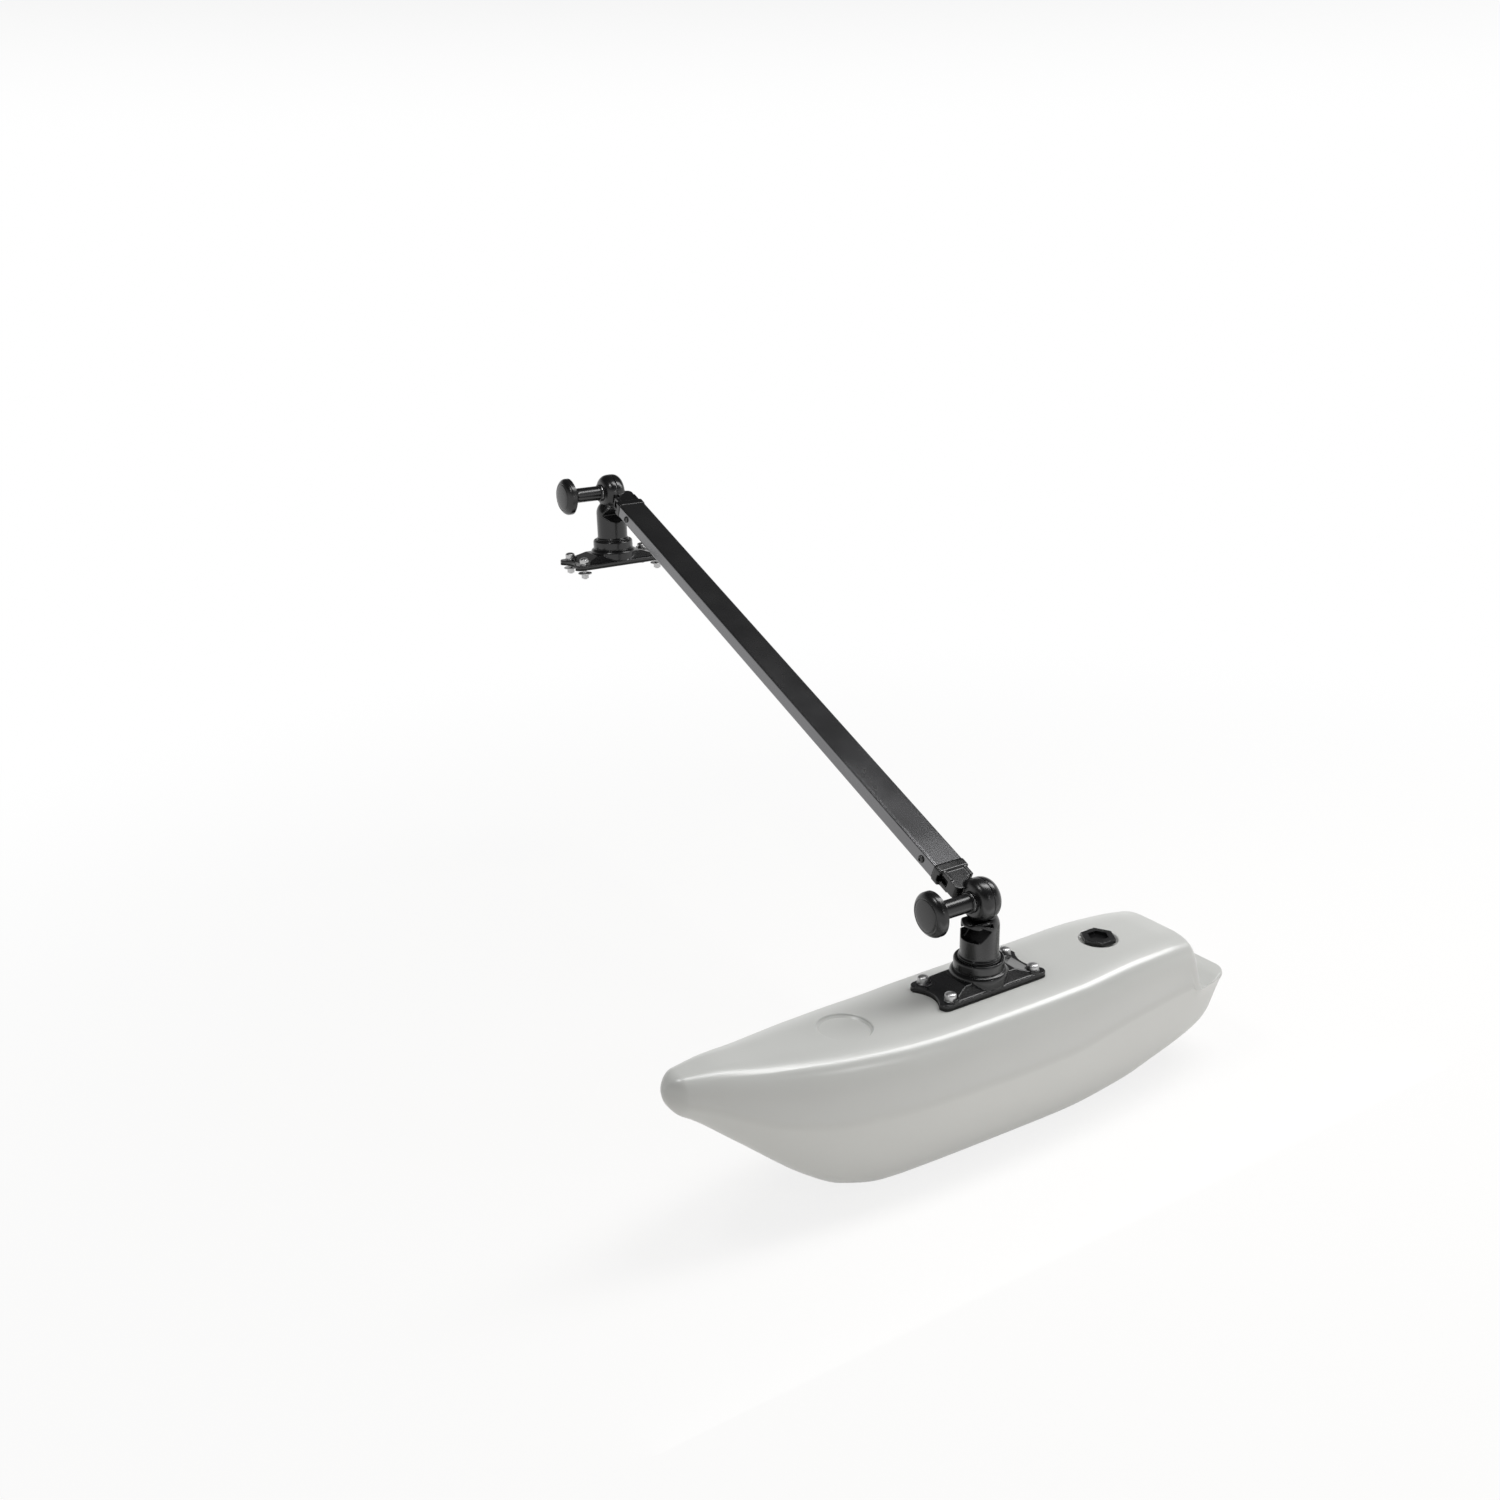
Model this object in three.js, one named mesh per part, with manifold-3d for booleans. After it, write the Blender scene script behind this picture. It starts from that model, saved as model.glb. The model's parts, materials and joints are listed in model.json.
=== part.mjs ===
// Kayak outrigger: a float carried by a folding arm on two clamped knuckles.
// Millimetres, +X to the stern, +Y inboard to the boat, +Z up.
// The origin is the centre of the underside of the upper deck pad.
import * as THREE from 'three';
import { mergeVertices } from 'three/addons/utils/BufferGeometryUtils.js';
import Module from 'manifold-3d';

const wasm = await Module();
wasm.setup();

// Driving dimensions: whole assembly
const ARM_LENGTH = 897; // hinge to hinge
const ARM_SLOPE = 22.5; // degrees below level, going outboard
const HINGE_HEIGHT = 102; // hinge axis above the underside of a base plate
const FIT = 0.3; // running and seating clearance
const OVERRUN = 2; // how far a cutter passes the surface it cuts
const WELD = 0.0005; // distance under which vertices are one

// Arm tube and its moulded end fittings
const TUBE_WIDTH = 40;
const TUBE_HEIGHT = 20;
const TUBE_WALL = 2;
const TUBE_CORNER = 3.5;
const EYE_RADIUS = 25;
const EYE_WIDTH = 16; // each half of a knuckle barrel, with its share of the seam
const EYE_ROUND = 8; // rounding of a barrel's outer end
const STEM_LENGTH = 18;
const STEM_HEIGHT = 17;
const STEM_RIB_HEIGHT = 1.6;
const STEM_RIB_WIDTH = 4;
const STEM_SLOT_HEIGHT = 6;
const STEM_SLOT_DEPTH = 5;
const STEM_SLOT_INSET = 5;
const COLLAR_LENGTH = 12;
const COLLAR_LIP = 0.8; // how far the collar stands proud of the tube
const COLLAR_BEVEL = 1.5;
const PLUG_LENGTH = 34; // part of the fitting inside the tube
const TUBE_SCREW_INSET = 22; // from the tube's end
const TUBE_SCREW_RADIUS = 2.5;
const TUBE_SCREW_HEAD_RADIUS = 4.5;
const TUBE_SCREW_HEAD_HEIGHT = 2.6;
const TUBE_SCREW_LENGTH = 15;

// Base plate with its two-tier hub
const PAD_THICKNESS = 2;
const PLATE_LENGTH = 150;
const PLATE_WIDTH = 67;
const PLATE_THICKNESS = 5;
const PLATE_CORNER = 10;
const PLATE_WAIST = 9; // how deep the ends curve in
const PLATE_BEVEL = 0.8;
const LOWER_TIER_RADIUS = 33;
const LOWER_TIER_TOP = 16;
const UPPER_TIER_RADIUS = 29;
const UPPER_TIER_TOP = 27;
const TIER_ROUND = 3;
const COLLAR_GROOVE_DEPTH = 3; // ring groove round the post's foot
const COLLAR_GROOVE_WIDTH = 2.5;
const SADDLE_LENGTH = 126; // raised body that slopes from the hub to the plate's edges
const SADDLE_HEIGHT = 9;
const SADDLE_RAKE = 11; // lean of its long sides
const SADDLE_END_RAKE = 27; // lean of its ends
const SADDLE_EDGE = 2; // margin from the plate's long edge
const BOLT_END_INSET = 15;
const BOLT_SIDE_INSET = 9.5;
const RIM_RADIUS = 7.6; // inside of the raised rim round a bolt
const RIM_WIDTH = 1.6;
const RIM_HEIGHT = 4;

// Bolts, washers, locknuts and moulded-in inserts
const BOLT_RADIUS = 3;
const BOLT_HEAD_RADIUS = 6.8;
const BOLT_HEAD_HEIGHT = 8.5;
const BOLT_HEAD_CROWN = 3;
const WASHER_RADIUS = 7.2;
const WASHER_THICKNESS = 1.5;
const DECK_GRIP = 5; // deck thickness that the upper bolts clamp
const BACKING_WASHER_RADIUS = 10;
const LOCKNUT_FLATS = 10;
const LOCKNUT_HEIGHT = 6;
const BOLT_TAIL = 1.5; // thread that shows past a locknut
const INSERT_RADIUS = 5;
const INSERT_LENGTH = 14;
const INSERT_BOSS_WALL = 4;

// Post with its half-lapped head
const POST_RADIUS = 22;
const POST_FOOT_RADIUS = 24;
const POST_FOOT_HEIGHT = 3;
const POST_DOME_HEIGHT = 20;
const POST_SHOULDER = 28; // dome springs this far below the hinge axis
const LAP_CLEARANCE = 1;
const LAP_DROP = 35; // degrees below level that the open side of the lap allows
const LAP_HORN = 16; // closed side of the lap ends this far below the hinge axis
const POCKET_RIB = 3;
const POCKET_FLOOR = 4; // pockets stop this far from the post's middle plane
const POCKET_WEB = 5; // web between the pockets of both sides
const POCKET_BASE = 7; // plain band above the foot
const SPIGOT_RADIUS = 15;
const SWIVEL_RECESS_RADIUS = 20;
const SWIVEL_RECESS_DEPTH = 10;
const SWIVEL_WASHER_THICKNESS = 2.5;
const SWIVEL_BOLT_RADIUS = 5;
const SWIVEL_BOLT_FLATS = 16;
const SWIVEL_BOLT_HEAD = 5;
const SWIVEL_BOLT_GRIP = 24;

// Hinge clamp: stud, nut, friction disc, washer and mushroom knob
const STUD_RADIUS = 5;
const HINGE_NUT_FLATS = 16;
const HINGE_NUT_HEIGHT = 8;
const DISC_RADIUS = 17;
const DISC_THICKNESS = 1.4;
const CLAMP_WASHER_RADIUS = 12;
const CLAMP_WASHER_THICKNESS = 1.5;
const KNOB_RADIUS = 26;
const KNOB_REACH = 82; // from the knuckle's middle plane to the cap's crown
const KNOB_CROWN = 12;
const KNOB_RIM = 6;
const KNOB_GROOVE = 1.2;
const KNOB_CONE = 11;
const KNOB_HUB_RADIUS = 10.5;
const KNOB_HUB_FLARE = 2;
const STUD_GRIP = 30; // length of the stud inside the knob

// Float
const FLOAT_LENGTH = 762;
const FLOAT_BEAM = 171;
const FLOAT_DEPTH = 197;
const FLOAT_WALL = 4;
const FLOAT_STATION_SHARE = 0.535; // where the base plate's centre lies, from the bow
const NOSE_RADIUS = 19;
const STERN_ROUND = 14;
const LEDGE_LENGTH = 48; // ledge behind the transom
const LEDGE_DROP = 69; // below the deck
const LIP_LENGTH = 30; // upturned end of the ledge
const LIP_HEIGHT = 3;
const TRANSOM_RAKE = 20; // how far the transom leans over its height
const TRANSOM_FLAT = 62; // straight part of the transom, seen from above
const TRANSOM_CORNER = 44; // reach of its rounded corners along the float
const TRANSOM_SIDE = 66; // half breadth at which the corners end
const SHOULDER_ROUND = 27;
const SHOULDER_DROP = 11;
const CHINE_ROUND = 5;
const BILGE_ROUND = 17;
const PORT_SPACING = 185; // from the plate's centre to each round recess
const BLANK_PORT_RADIUS = 30;
const BLANK_PORT_DEPTH = 3.5;
const DRAIN_PORT_RADIUS = 23;
const DRAIN_PORT_DEPTH = 5;
const DRAIN_BORE_RADIUS = 11;
const DRAIN_PLUG_FLATS = 37;
const DRAIN_PLUG_HEAD = 6;
const DRAIN_PLUG_LENGTH = 12;
const DRAIN_PLUG_SOCKET_FLATS = 22;
const DRAIN_PLUG_SOCKET_DEPTH = 4;
const SEAL_RADIUS = 1.2;

// Facet counts
const ROUND_SIDES = 20;
const SMALL_SIDES = 12;
const HARDWARE_SIDES = 8;
const ARC_STEPS = 3;
const EDGE_STEPS = 2;
const CURVE_STEPS = 3;
const CORNER_STEPS = 1;
const SECTION_STEPS = 3;
const CHINE_STEPS = 2;
const CAVITY_STEPS = 2;
const SEAL_SECTION_SIDES = 6;
const NOSE_STEP_DEGREES = [12, 28, 46, 66, 90];
const STERN_STEP_DEGREES = [0, 30, 60, 90];

// Shapes of the float as shares: of its length from the bow, then of its depth or half its beam
const SHEER_SHARES = [
  [0, 0.094], [0.06, 0.094], [0.14, 0.062], [0.29, 0.02], [0.41, 0], [0.66, 0], [0.78, 0.016],
  [0.86, 0.004], [0.92, -0.024], [1, -0.06],
];
const KEEL_SHARES = [
  [0, -0.1], [0.03, -0.165], [0.098, -0.385], [0.2, -0.715], [0.25, -0.83], [0.32, -0.897],
  [0.535, -0.922], [0.66, -0.93], [0.78, -0.903], [0.867, -0.845], [0.93, -0.79], [0.97, -0.74],
  [1, -0.64],
];
const CHINE_SHARES = [
  [0, -0.02], [0.05, -0.085], [0.098, -0.172], [0.155, -0.262], [0.24, -0.325], [0.35, -0.352],
  [0.444, -0.357], [0.61, -0.365], [0.7, -0.33], [0.76, -0.302], [0.88, -0.288], [0.94, -0.305],
  [1, -0.33],
];
const CHINE_WIDTH_SHARES = [
  [0, 0.2], [0.03, 0.3], [0.098, 0.5], [0.155, 0.65], [0.24, 0.81], [0.35, 0.93], [0.45, 0.985],
  [0.56, 1], [0.66, 0.99], [0.78, 0.935], [0.867, 0.86], [0.93, 0.79], [1, 0.64],
];
const SHOULDER_WIDTH_SHARES = [
  [0, 0.19], [0.03, 0.28], [0.098, 0.44], [0.155, 0.565], [0.24, 0.725], [0.35, 0.845],
  [0.45, 0.9], [0.56, 0.915], [0.66, 0.905], [0.78, 0.85], [0.867, 0.79], [0.93, 0.73], [1, 0.55],
];
const BILGE_WIDTH_SHARES = [
  [0, 0.09], [0.03, 0.13], [0.098, 0.22], [0.2, 0.4], [0.28, 0.5], [0.36, 0.55], [0.535, 0.56],
  [0.66, 0.56], [0.78, 0.53], [0.867, 0.49], [0.93, 0.46], [1, 0.4],
];
const HULL_STATION_SHARES = [
  0.04, 0.065, 0.1, 0.145, 0.19, 0.235, 0.28, 0.34, 0.41, 0.5, 0.58, 0.66,
  0.73, 0.79, 0.84, 0.88, 0.91, 0.94, 0.96, 0.975,
];
const CAVITY_STATION_SHARES = [
  0.04, 0.09, 0.14, 0.2, 0.27, 0.36, 0.45, 0.6, 0.72, 0.8, 0.86, 0.91, 0.95,
];
const DECK_FLAT_SHARE = 0.58; // flat middle of the deck, of the shoulder's half width
const EDGE_SHARE = 0.46; // longest share of an edge that a rounding may take
const CAVITY_NOSE_SHARE = 0.012;
const CAVITY_STERN_SHARE = 0.98;

// Derived places
const TUBE_START = EYE_RADIUS + STEM_LENGTH + COLLAR_LENGTH;
const EYE_THICKNESS = EYE_WIDTH - 2 * FIT;
const HALF = EYE_WIDTH / 2;
const BOLT_X = PLATE_LENGTH / 2 - BOLT_END_INSET;
const BOLT_Y = PLATE_WIDTH / 2 - BOLT_SIDE_INSET;
const BOLT_HOLE_RADIUS = BOLT_RADIUS + FIT;
const SEAT_DEPTH = (DISC_THICKNESS + FIT) / 2; // of the seat for half of a friction disc
const SPIGOT_END = SWIVEL_RECESS_DEPTH - FIT; // above the underside of the plate
const BOLT_PLACES = [
  ['bow_inboard', -BOLT_X, BOLT_Y],
  ['bow_outboard', -BOLT_X, -BOLT_Y],
  ['stern_inboard', BOLT_X, BOLT_Y],
  ['stern_outboard', BOLT_X, -BOLT_Y],
];

// Materials
const material = (name, color, roughness, metalness) =>
  new THREE.MeshStandardMaterial({ name, color, roughness, metalness });
const POLYETHYLENE = material('float_polyethylene', 0xc4c7c0, 0.45, 0);
const BLACK_NYLON = material('black_nylon', 0x17181a, 0.35, 0);
const BLACK_TUBE = material('black_anodised_tube', 0x1d1e21, 0.4, 0.6);
const STEEL = material('stainless_steel', 0xc9cbcc, 0.25, 1);
const BRASS = material('brass', 0xb08d4f, 0.35, 1);
const RUBBER = material('black_rubber', 0x111111, 0.8, 0);

// Mesh helpers

// Keeps position only, welds the shared vertices and drops triangles without area
function welded(geometry) {
  const bare = geometry.clone();
  for (const name of Object.keys(bare.attributes)) {
    if (name !== 'position') bare.deleteAttribute(name);
  }
  const merged = mergeVertices(bare, WELD);
  const source = merged.index.array;
  const index = [];
  for (let i = 0; i < source.length; i += 3) {
    const [a, b, c] = source.subarray(i, i + 3);
    if (a !== b && b !== c && c !== a) index.push(a, b, c);
  }
  merged.setIndex(index);
  return merged;
}

// Signed volume of a closed mesh, negative when its faces point inwards
function signedVolume(geometry) {
  const p = geometry.attributes.position;
  const corner = [new THREE.Vector3(), new THREE.Vector3(), new THREE.Vector3()];
  let sum = 0;
  for (let i = 0; i < geometry.index.count; i += 3) {
    corner.forEach((v, k) => v.fromBufferAttribute(p, geometry.index.getX(i + k)));
    sum += corner[0].dot(corner[1].clone().cross(corner[2]));
  }
  return sum / 6;
}

function outward(geometry) {
  const closed = welded(geometry);
  if (signedVolume(closed) < 0) closed.setIndex(Array.from(closed.index.array).reverse());
  return closed;
}

function solid(geometry) {
  const closed = outward(geometry);
  return new wasm.Manifold(new wasm.Mesh({
    numProp: 3,
    vertProperties: closed.attributes.position.array,
    triVerts: new Uint32Array(closed.index.array),
  }));
}

function shapeOf(body) {
  const mesh = body.getMesh();
  const geometry = new THREE.BufferGeometry();
  geometry.setAttribute('position', new THREE.BufferAttribute(mesh.vertProperties, 3));
  geometry.setIndex(new THREE.BufferAttribute(mesh.triVerts, 1));
  return geometry;
}

const joined = (...geometries) => shapeOf(geometries.map(solid).reduce((a, b) => a.add(b)));
const cut = (body, ...tools) =>
  shapeOf(tools.map(solid).reduce((a, b) => a.subtract(b), solid(body)));

// Body of revolution about Z from [radius, height] points that start and end on the axis or close
function turned(profile, sides = ROUND_SIDES) {
  const points = profile.map(([r, z]) => new THREE.Vector2(r, z));
  return new THREE.LatheGeometry(points, sides).rotateX(Math.PI / 2);
}

const rod = (radius, from, to, sides = SMALL_SIDES) =>
  turned([[0, from], [radius, from], [radius, to], [0, to]], sides);

const ring = (inner, outer, from, to, sides = SMALL_SIDES) =>
  turned([[inner, from], [outer, from], [outer, to], [inner, to], [inner, from]], sides);

const alongX = (geometry) => geometry.rotateY(Math.PI / 2);

// Points of a quarter ellipse from [r0, z0] to [r1, z1]; it leaves the first point along z
function quarter(r0, z0, r1, z1, steps = ARC_STEPS) {
  return Array.from({ length: steps + 1 }, (_, i) => {
    const angle = (i / steps) * (Math.PI / 2);
    return [r1 + (r0 - r1) * Math.cos(angle), z0 + (z1 - z0) * Math.sin(angle)];
  });
}

function hexagon(flats) {
  const radius = flats / Math.sqrt(3);
  const points = Array.from({ length: 6 }, (_, i) => {
    const angle = (i * Math.PI) / 3;
    return new THREE.Vector2(radius * Math.cos(angle), radius * Math.sin(angle));
  });
  return new THREE.Shape(points);
}

function extruded(shape, from, to, bevel = 0, curveSegments = CURVE_STEPS) {
  return new THREE.ExtrudeGeometry(shape, {
    depth: to - from - 2 * bevel,
    bevelEnabled: bevel > 0,
    bevelThickness: bevel,
    bevelSize: bevel,
    bevelOffset: -bevel,
    bevelSegments: 1,
    curveSegments,
  }).translate(0, 0, from + bevel);
}

const hexBar = (flats, from, to) => extruded(hexagon(flats), from, to);

function roundedRectangle(width, height, corner) {
  const x = width / 2;
  const y = height / 2;
  const shape = new THREE.Shape();
  shape.moveTo(-x + corner, -y);
  shape.lineTo(x - corner, -y);
  shape.absarc(x - corner, -y + corner, corner, -Math.PI / 2, 0);
  shape.lineTo(x, y - corner);
  shape.absarc(x - corner, y - corner, corner, 0, Math.PI / 2);
  shape.lineTo(-x + corner, y);
  shape.absarc(-x + corner, y - corner, corner, Math.PI / 2, Math.PI);
  shape.lineTo(-x, -y + corner);
  shape.absarc(-x + corner, -y + corner, corner, Math.PI, 1.5 * Math.PI);
  return shape;
}

// Frustum on a rectangle: length and width at the bottom and at the top
function frustum(bottom, top, from, to) {
  const box = new THREE.BoxGeometry(1, 1, 1);
  const p = box.attributes.position;
  for (let i = 0; i < p.count; i += 1) {
    const size = p.getZ(i) < 0 ? bottom : top;
    p.setXYZ(i, p.getX(i) * size[0], p.getY(i) * size[1], p.getZ(i) < 0 ? from : to);
  }
  return box;
}

// Skin over rings of equal point count, closed by a fan at each end
function lofted(rings) {
  const count = rings[0].length;
  const points = rings.flat();
  const faces = [];
  for (let r = 0; r + 1 < rings.length; r += 1) {
    for (let i = 0; i < count; i += 1) {
      const j = (i + 1) % count;
      const a = r * count + i;
      const b = r * count + j;
      faces.push(a, b, b + count, a, b + count, a + count);
    }
  }
  for (const [first, turn] of [[0, true], [(rings.length - 1) * count, false]]) {
    const centre = points.length;
    const mean = new THREE.Vector3();
    for (let i = 0; i < count; i += 1) mean.add(points[first + i]);
    points.push(mean.divideScalar(count));
    for (let i = 0; i < count; i += 1) {
      const a = first + i;
      const b = first + ((i + 1) % count);
      faces.push(...(turn ? [b, a, centre] : [a, b, centre]));
    }
  }
  const geometry = new THREE.BufferGeometry().setFromPoints(points);
  geometry.setIndex(faces);
  return geometry;
}

// Smooth value through [place, value] pairs that never overshoots them
function through(pairs, at) {
  const last = pairs.length - 1;
  const place = Math.min(Math.max(at, pairs[0][0]), pairs[last][0]);
  let k = 0;
  while (k < last - 1 && place > pairs[k + 1][0]) k += 1;
  const rise = (i) => (pairs[i + 1][1] - pairs[i][1]) / (pairs[i + 1][0] - pairs[i][0]);
  const slope = (i) => {
    if (i === 0) return rise(0);
    if (i === last) return rise(last - 1);
    const [before, after] = [rise(i - 1), rise(i)];
    return before * after <= 0 ? 0 : (2 * before * after) / (before + after);
  };
  const width = pairs[k + 1][0] - pairs[k][0];
  const t = (place - pairs[k][0]) / width;
  const [u, v] = [t * t, t * t * t];
  return (2 * v - 3 * u + 1) * pairs[k][1] + (v - 2 * u + t) * width * slope(k)
    + (3 * u - 2 * v) * pairs[k + 1][1] + (v - u) * width * slope(k + 1);
}

// Float

// Half breadths and heights of the float's skin, drawn in by a wall thickness
function lines(x, inset) {
  const reach = inset ? [x - inset, x, x + inset] : [x];
  const read = (table, size, pick) => pick(...reach.map((v) => through(table, v / FLOAT_LENGTH) * size));
  const half = FLOAT_BEAM / 2;
  return {
    deck: read(SHEER_SHARES, FLOAT_DEPTH, Math.min) - inset,
    chine: read(CHINE_SHARES, FLOAT_DEPTH, Math.min),
    keel: read(KEEL_SHARES, FLOAT_DEPTH, Math.max) + inset,
    shoulderWidth: read(SHOULDER_WIDTH_SHARES, half, Math.min) - inset,
    chineWidth: read(CHINE_WIDTH_SHARES, half, Math.min) - inset,
    bilgeWidth: read(BILGE_WIDTH_SHARES, half, Math.min) - inset,
  };
}

// Rounds one corner of an outline with a curve that leaves both edges smoothly
function rounding(before, corner, after, reach, steps) {
  const toward = (end) => {
    const edge = end.clone().sub(corner);
    const length = edge.length();
    return corner.clone().addScaledVector(edge, Math.min(reach, length * EDGE_SHARE) / length);
  };
  return new THREE.QuadraticBezierCurve(toward(before), corner, toward(after)).getPoints(steps);
}

// One side of a cross-section, from the middle of the deck round to the middle of the keel
function halfSection(line, drop, steps) {
  const at = (y, z) => new THREE.Vector2(y, z);
  const flat = at(line.shoulderWidth * DECK_FLAT_SHARE, line.deck);
  const shoulder = at(line.shoulderWidth, line.deck - drop);
  const chine = at(line.chineWidth, Math.min(line.chine, shoulder.y - drop));
  const bilge = at(line.bilgeWidth, line.keel);
  const keel = at(0, line.keel);
  return [
    at(0, line.deck), flat,
    ...rounding(flat, shoulder, chine, SHOULDER_ROUND, steps),
    ...rounding(shoulder, chine, bilge, CHINE_ROUND, CHINE_STEPS),
    ...rounding(chine, bilge, keel, BILGE_ROUND, steps),
    keel,
  ];
}

// Closed cross-section ring at x, drawn in towards its middle by a scale
function section(x, inset, scale, steps = SECTION_STEPS) {
  const line = lines(x, inset);
  const drop = Math.min(SHOULDER_DROP, (line.deck - line.chine) * DECK_FLAT_SHARE);
  const side = halfSection(line, drop, steps);
  const middle = (line.deck + line.keel) / 2;
  const place = (sign) => (p) =>
    new THREE.Vector3(x, sign * p.x * scale, middle + (p.y - middle) * scale);
  return [...side.map(place(1)), ...side.slice(1, -1).reverse().map(place(-1))];
}

function floatOutside() {
  const rings = [];
  for (const degrees of NOSE_STEP_DEGREES) {
    const angle = THREE.MathUtils.degToRad(degrees);
    rings.push(section(NOSE_RADIUS * (1 - Math.cos(angle)), 0, Math.sin(angle)));
  }
  for (const share of HULL_STATION_SHARES) rings.push(section(share * FLOAT_LENGTH, 0, 1));
  const half = (FLOAT_BEAM / 2) * through(CHINE_WIDTH_SHARES, 1);
  for (const degrees of STERN_STEP_DEGREES) {
    const angle = THREE.MathUtils.degToRad(degrees);
    const x = FLOAT_LENGTH - STERN_ROUND * (1 - Math.sin(angle));
    rings.push(section(x, 0, 1 - (STERN_ROUND / half) * (1 - Math.cos(angle))));
  }
  return lofted(rings);
}

// Space behind the transom. Its plan leaves the transom's rounded corners, it leans with the
// transom, and its floor is the ledge with its upturned lip.
function sternSpace(inset) {
  const foot = FLOAT_LENGTH - LEDGE_LENGTH - inset;
  const end = FLOAT_LENGTH + OVERRUN;
  const far = FLOAT_LENGTH + FLOAT_DEPTH;
  const front = foot - TRANSOM_CORNER;
  const flat = TRANSOM_FLAT / 2 - inset;
  const side = TRANSOM_SIDE - inset;
  const ledge = -LEDGE_DROP - inset;
  const plan = new THREE.Shape();
  plan.moveTo(far, -FLOAT_BEAM);
  plan.lineTo(far, FLOAT_BEAM);
  plan.lineTo(front, FLOAT_BEAM);
  plan.lineTo(front, side);
  plan.quadraticCurveTo(foot, side, foot, flat);
  plan.lineTo(foot, -flat);
  plan.quadraticCurveTo(foot, -side, front, -side);
  plan.lineTo(front, -FLOAT_BEAM);
  const lean = TRANSOM_RAKE / LEDGE_DROP;
  const upright = extruded(plan, 0, FLOAT_DEPTH).translate(0, 0, -OVERRUN)
    .applyMatrix4(new THREE.Matrix4().makeShear(0, 0, 0, 0, -lean, 0)).translate(0, 0, ledge);
  const floor = new THREE.Shape();
  const lip = ledge + LIP_HEIGHT;
  floor.moveTo(front - TRANSOM_RAKE, ledge);
  floor.lineTo(end - LIP_LENGTH, ledge);
  floor.quadraticCurveTo(end - LIP_LENGTH / 2, ledge, end - LIP_LENGTH / 2, lip);
  floor.lineTo(end, lip);
  floor.lineTo(end, FLOAT_DEPTH);
  floor.lineTo(front - FLOAT_DEPTH, FLOAT_DEPTH);
  const above = extruded(floor, -FLOAT_BEAM, FLOAT_BEAM).rotateX(Math.PI / 2);
  return shapeOf(solid(upright).intersect(solid(above)));
}

function floatInside() {
  const shares = [CAVITY_NOSE_SHARE, ...CAVITY_STATION_SHARES, CAVITY_STERN_SHARE];
  const end = FLOAT_LENGTH * CAVITY_STERN_SHARE;
  const start = FLOAT_WALL + NOSE_RADIUS / 2;
  return lofted(shares.map((share) => section(
    Math.min(Math.max(share * FLOAT_LENGTH, start), end), FLOAT_WALL, 1, CAVITY_STEPS)));
}

// Height of the middle of the deck at a distance from the base plate's centre
const deckHeight = (x) =>
  through(SHEER_SHARES, FLOAT_STATION_SHARE + x / FLOAT_LENGTH) * FLOAT_DEPTH;

// Lowest deck height over a round port, so that its floor cuts the deck all round
const portHeight = (x, radius) =>
  Math.min(deckHeight(x - radius), deckHeight(x), deckHeight(x + radius));

function floatShell() {
  const station = FLOAT_STATION_SHARE * FLOAT_LENGTH;
  const outside = cut(floatOutside(), sternSpace(0)).translate(-station, 0, 0);
  const blankFloor = portHeight(-PORT_SPACING, BLANK_PORT_RADIUS) - BLANK_PORT_DEPTH;
  const drainFloor = portHeight(PORT_SPACING, DRAIN_PORT_RADIUS) - DRAIN_PORT_DEPTH;
  const above = FLOAT_DEPTH / 2;
  const insertDepth = INSERT_LENGTH + FIT;
  const bossDepth = insertDepth + INSERT_BOSS_WALL;
  const bossRadius = INSERT_RADIUS + FIT + INSERT_BOSS_WALL;
  const bosses = BOLT_PLACES.map(([, x, y]) =>
    rod(bossRadius, -bossDepth, OVERRUN).translate(x, y, 0));
  const blankBoss = rod(BLANK_PORT_RADIUS + FLOAT_WALL, blankFloor - FLOAT_WALL, above)
    .translate(-PORT_SPACING, 0, 0);
  const drainBoss = rod(DRAIN_PORT_RADIUS + FLOAT_WALL, drainFloor - FLOAT_WALL, above)
    .translate(PORT_SPACING, 0, 0);
  const cavity = cut(cut(floatInside(), sternSpace(FLOAT_WALL)).translate(-station, 0, 0),
    ...bosses, blankBoss, drainBoss);
  const pockets = BOLT_PLACES.map(([, x, y]) =>
    rod(INSERT_RADIUS + FIT, -insertDepth, OVERRUN).translate(x, y, 0));
  const blank = rod(BLANK_PORT_RADIUS, blankFloor, above, ROUND_SIDES)
    .translate(-PORT_SPACING, 0, 0);
  const drain = rod(DRAIN_PORT_RADIUS, drainFloor, above, ROUND_SIDES)
    .translate(PORT_SPACING, 0, 0);
  const bore = rod(DRAIN_BORE_RADIUS, drainFloor - 2 * FLOAT_WALL, above, ROUND_SIDES)
    .translate(PORT_SPACING, 0, 0);
  return cut(outside, cavity, ...pockets, blank, drain, bore);
}

function drainPlug() {
  const neck = DRAIN_BORE_RADIUS - FIT;
  const gap = 2 * SEAL_RADIUS + FIT;
  const body = joined(
    extruded(hexagon(DRAIN_PLUG_FLATS), gap, gap + DRAIN_PLUG_HEAD, PLATE_BEVEL),
    rod(neck, -DRAIN_PLUG_LENGTH, gap + FIT, ROUND_SIDES),
  );
  const top = gap + DRAIN_PLUG_HEAD;
  return cut(body, hexBar(DRAIN_PLUG_SOCKET_FLATS, top - DRAIN_PLUG_SOCKET_DEPTH, top + OVERRUN));
}

const drainSeal = () =>
  new THREE.TorusGeometry(DRAIN_BORE_RADIUS + SEAL_RADIUS + FIT, SEAL_RADIUS,
    SEAL_SECTION_SIDES, SMALL_SIDES)
    .translate(0, 0, SEAL_RADIUS + FIT / 2);

// Base plate, pad and fasteners

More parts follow.
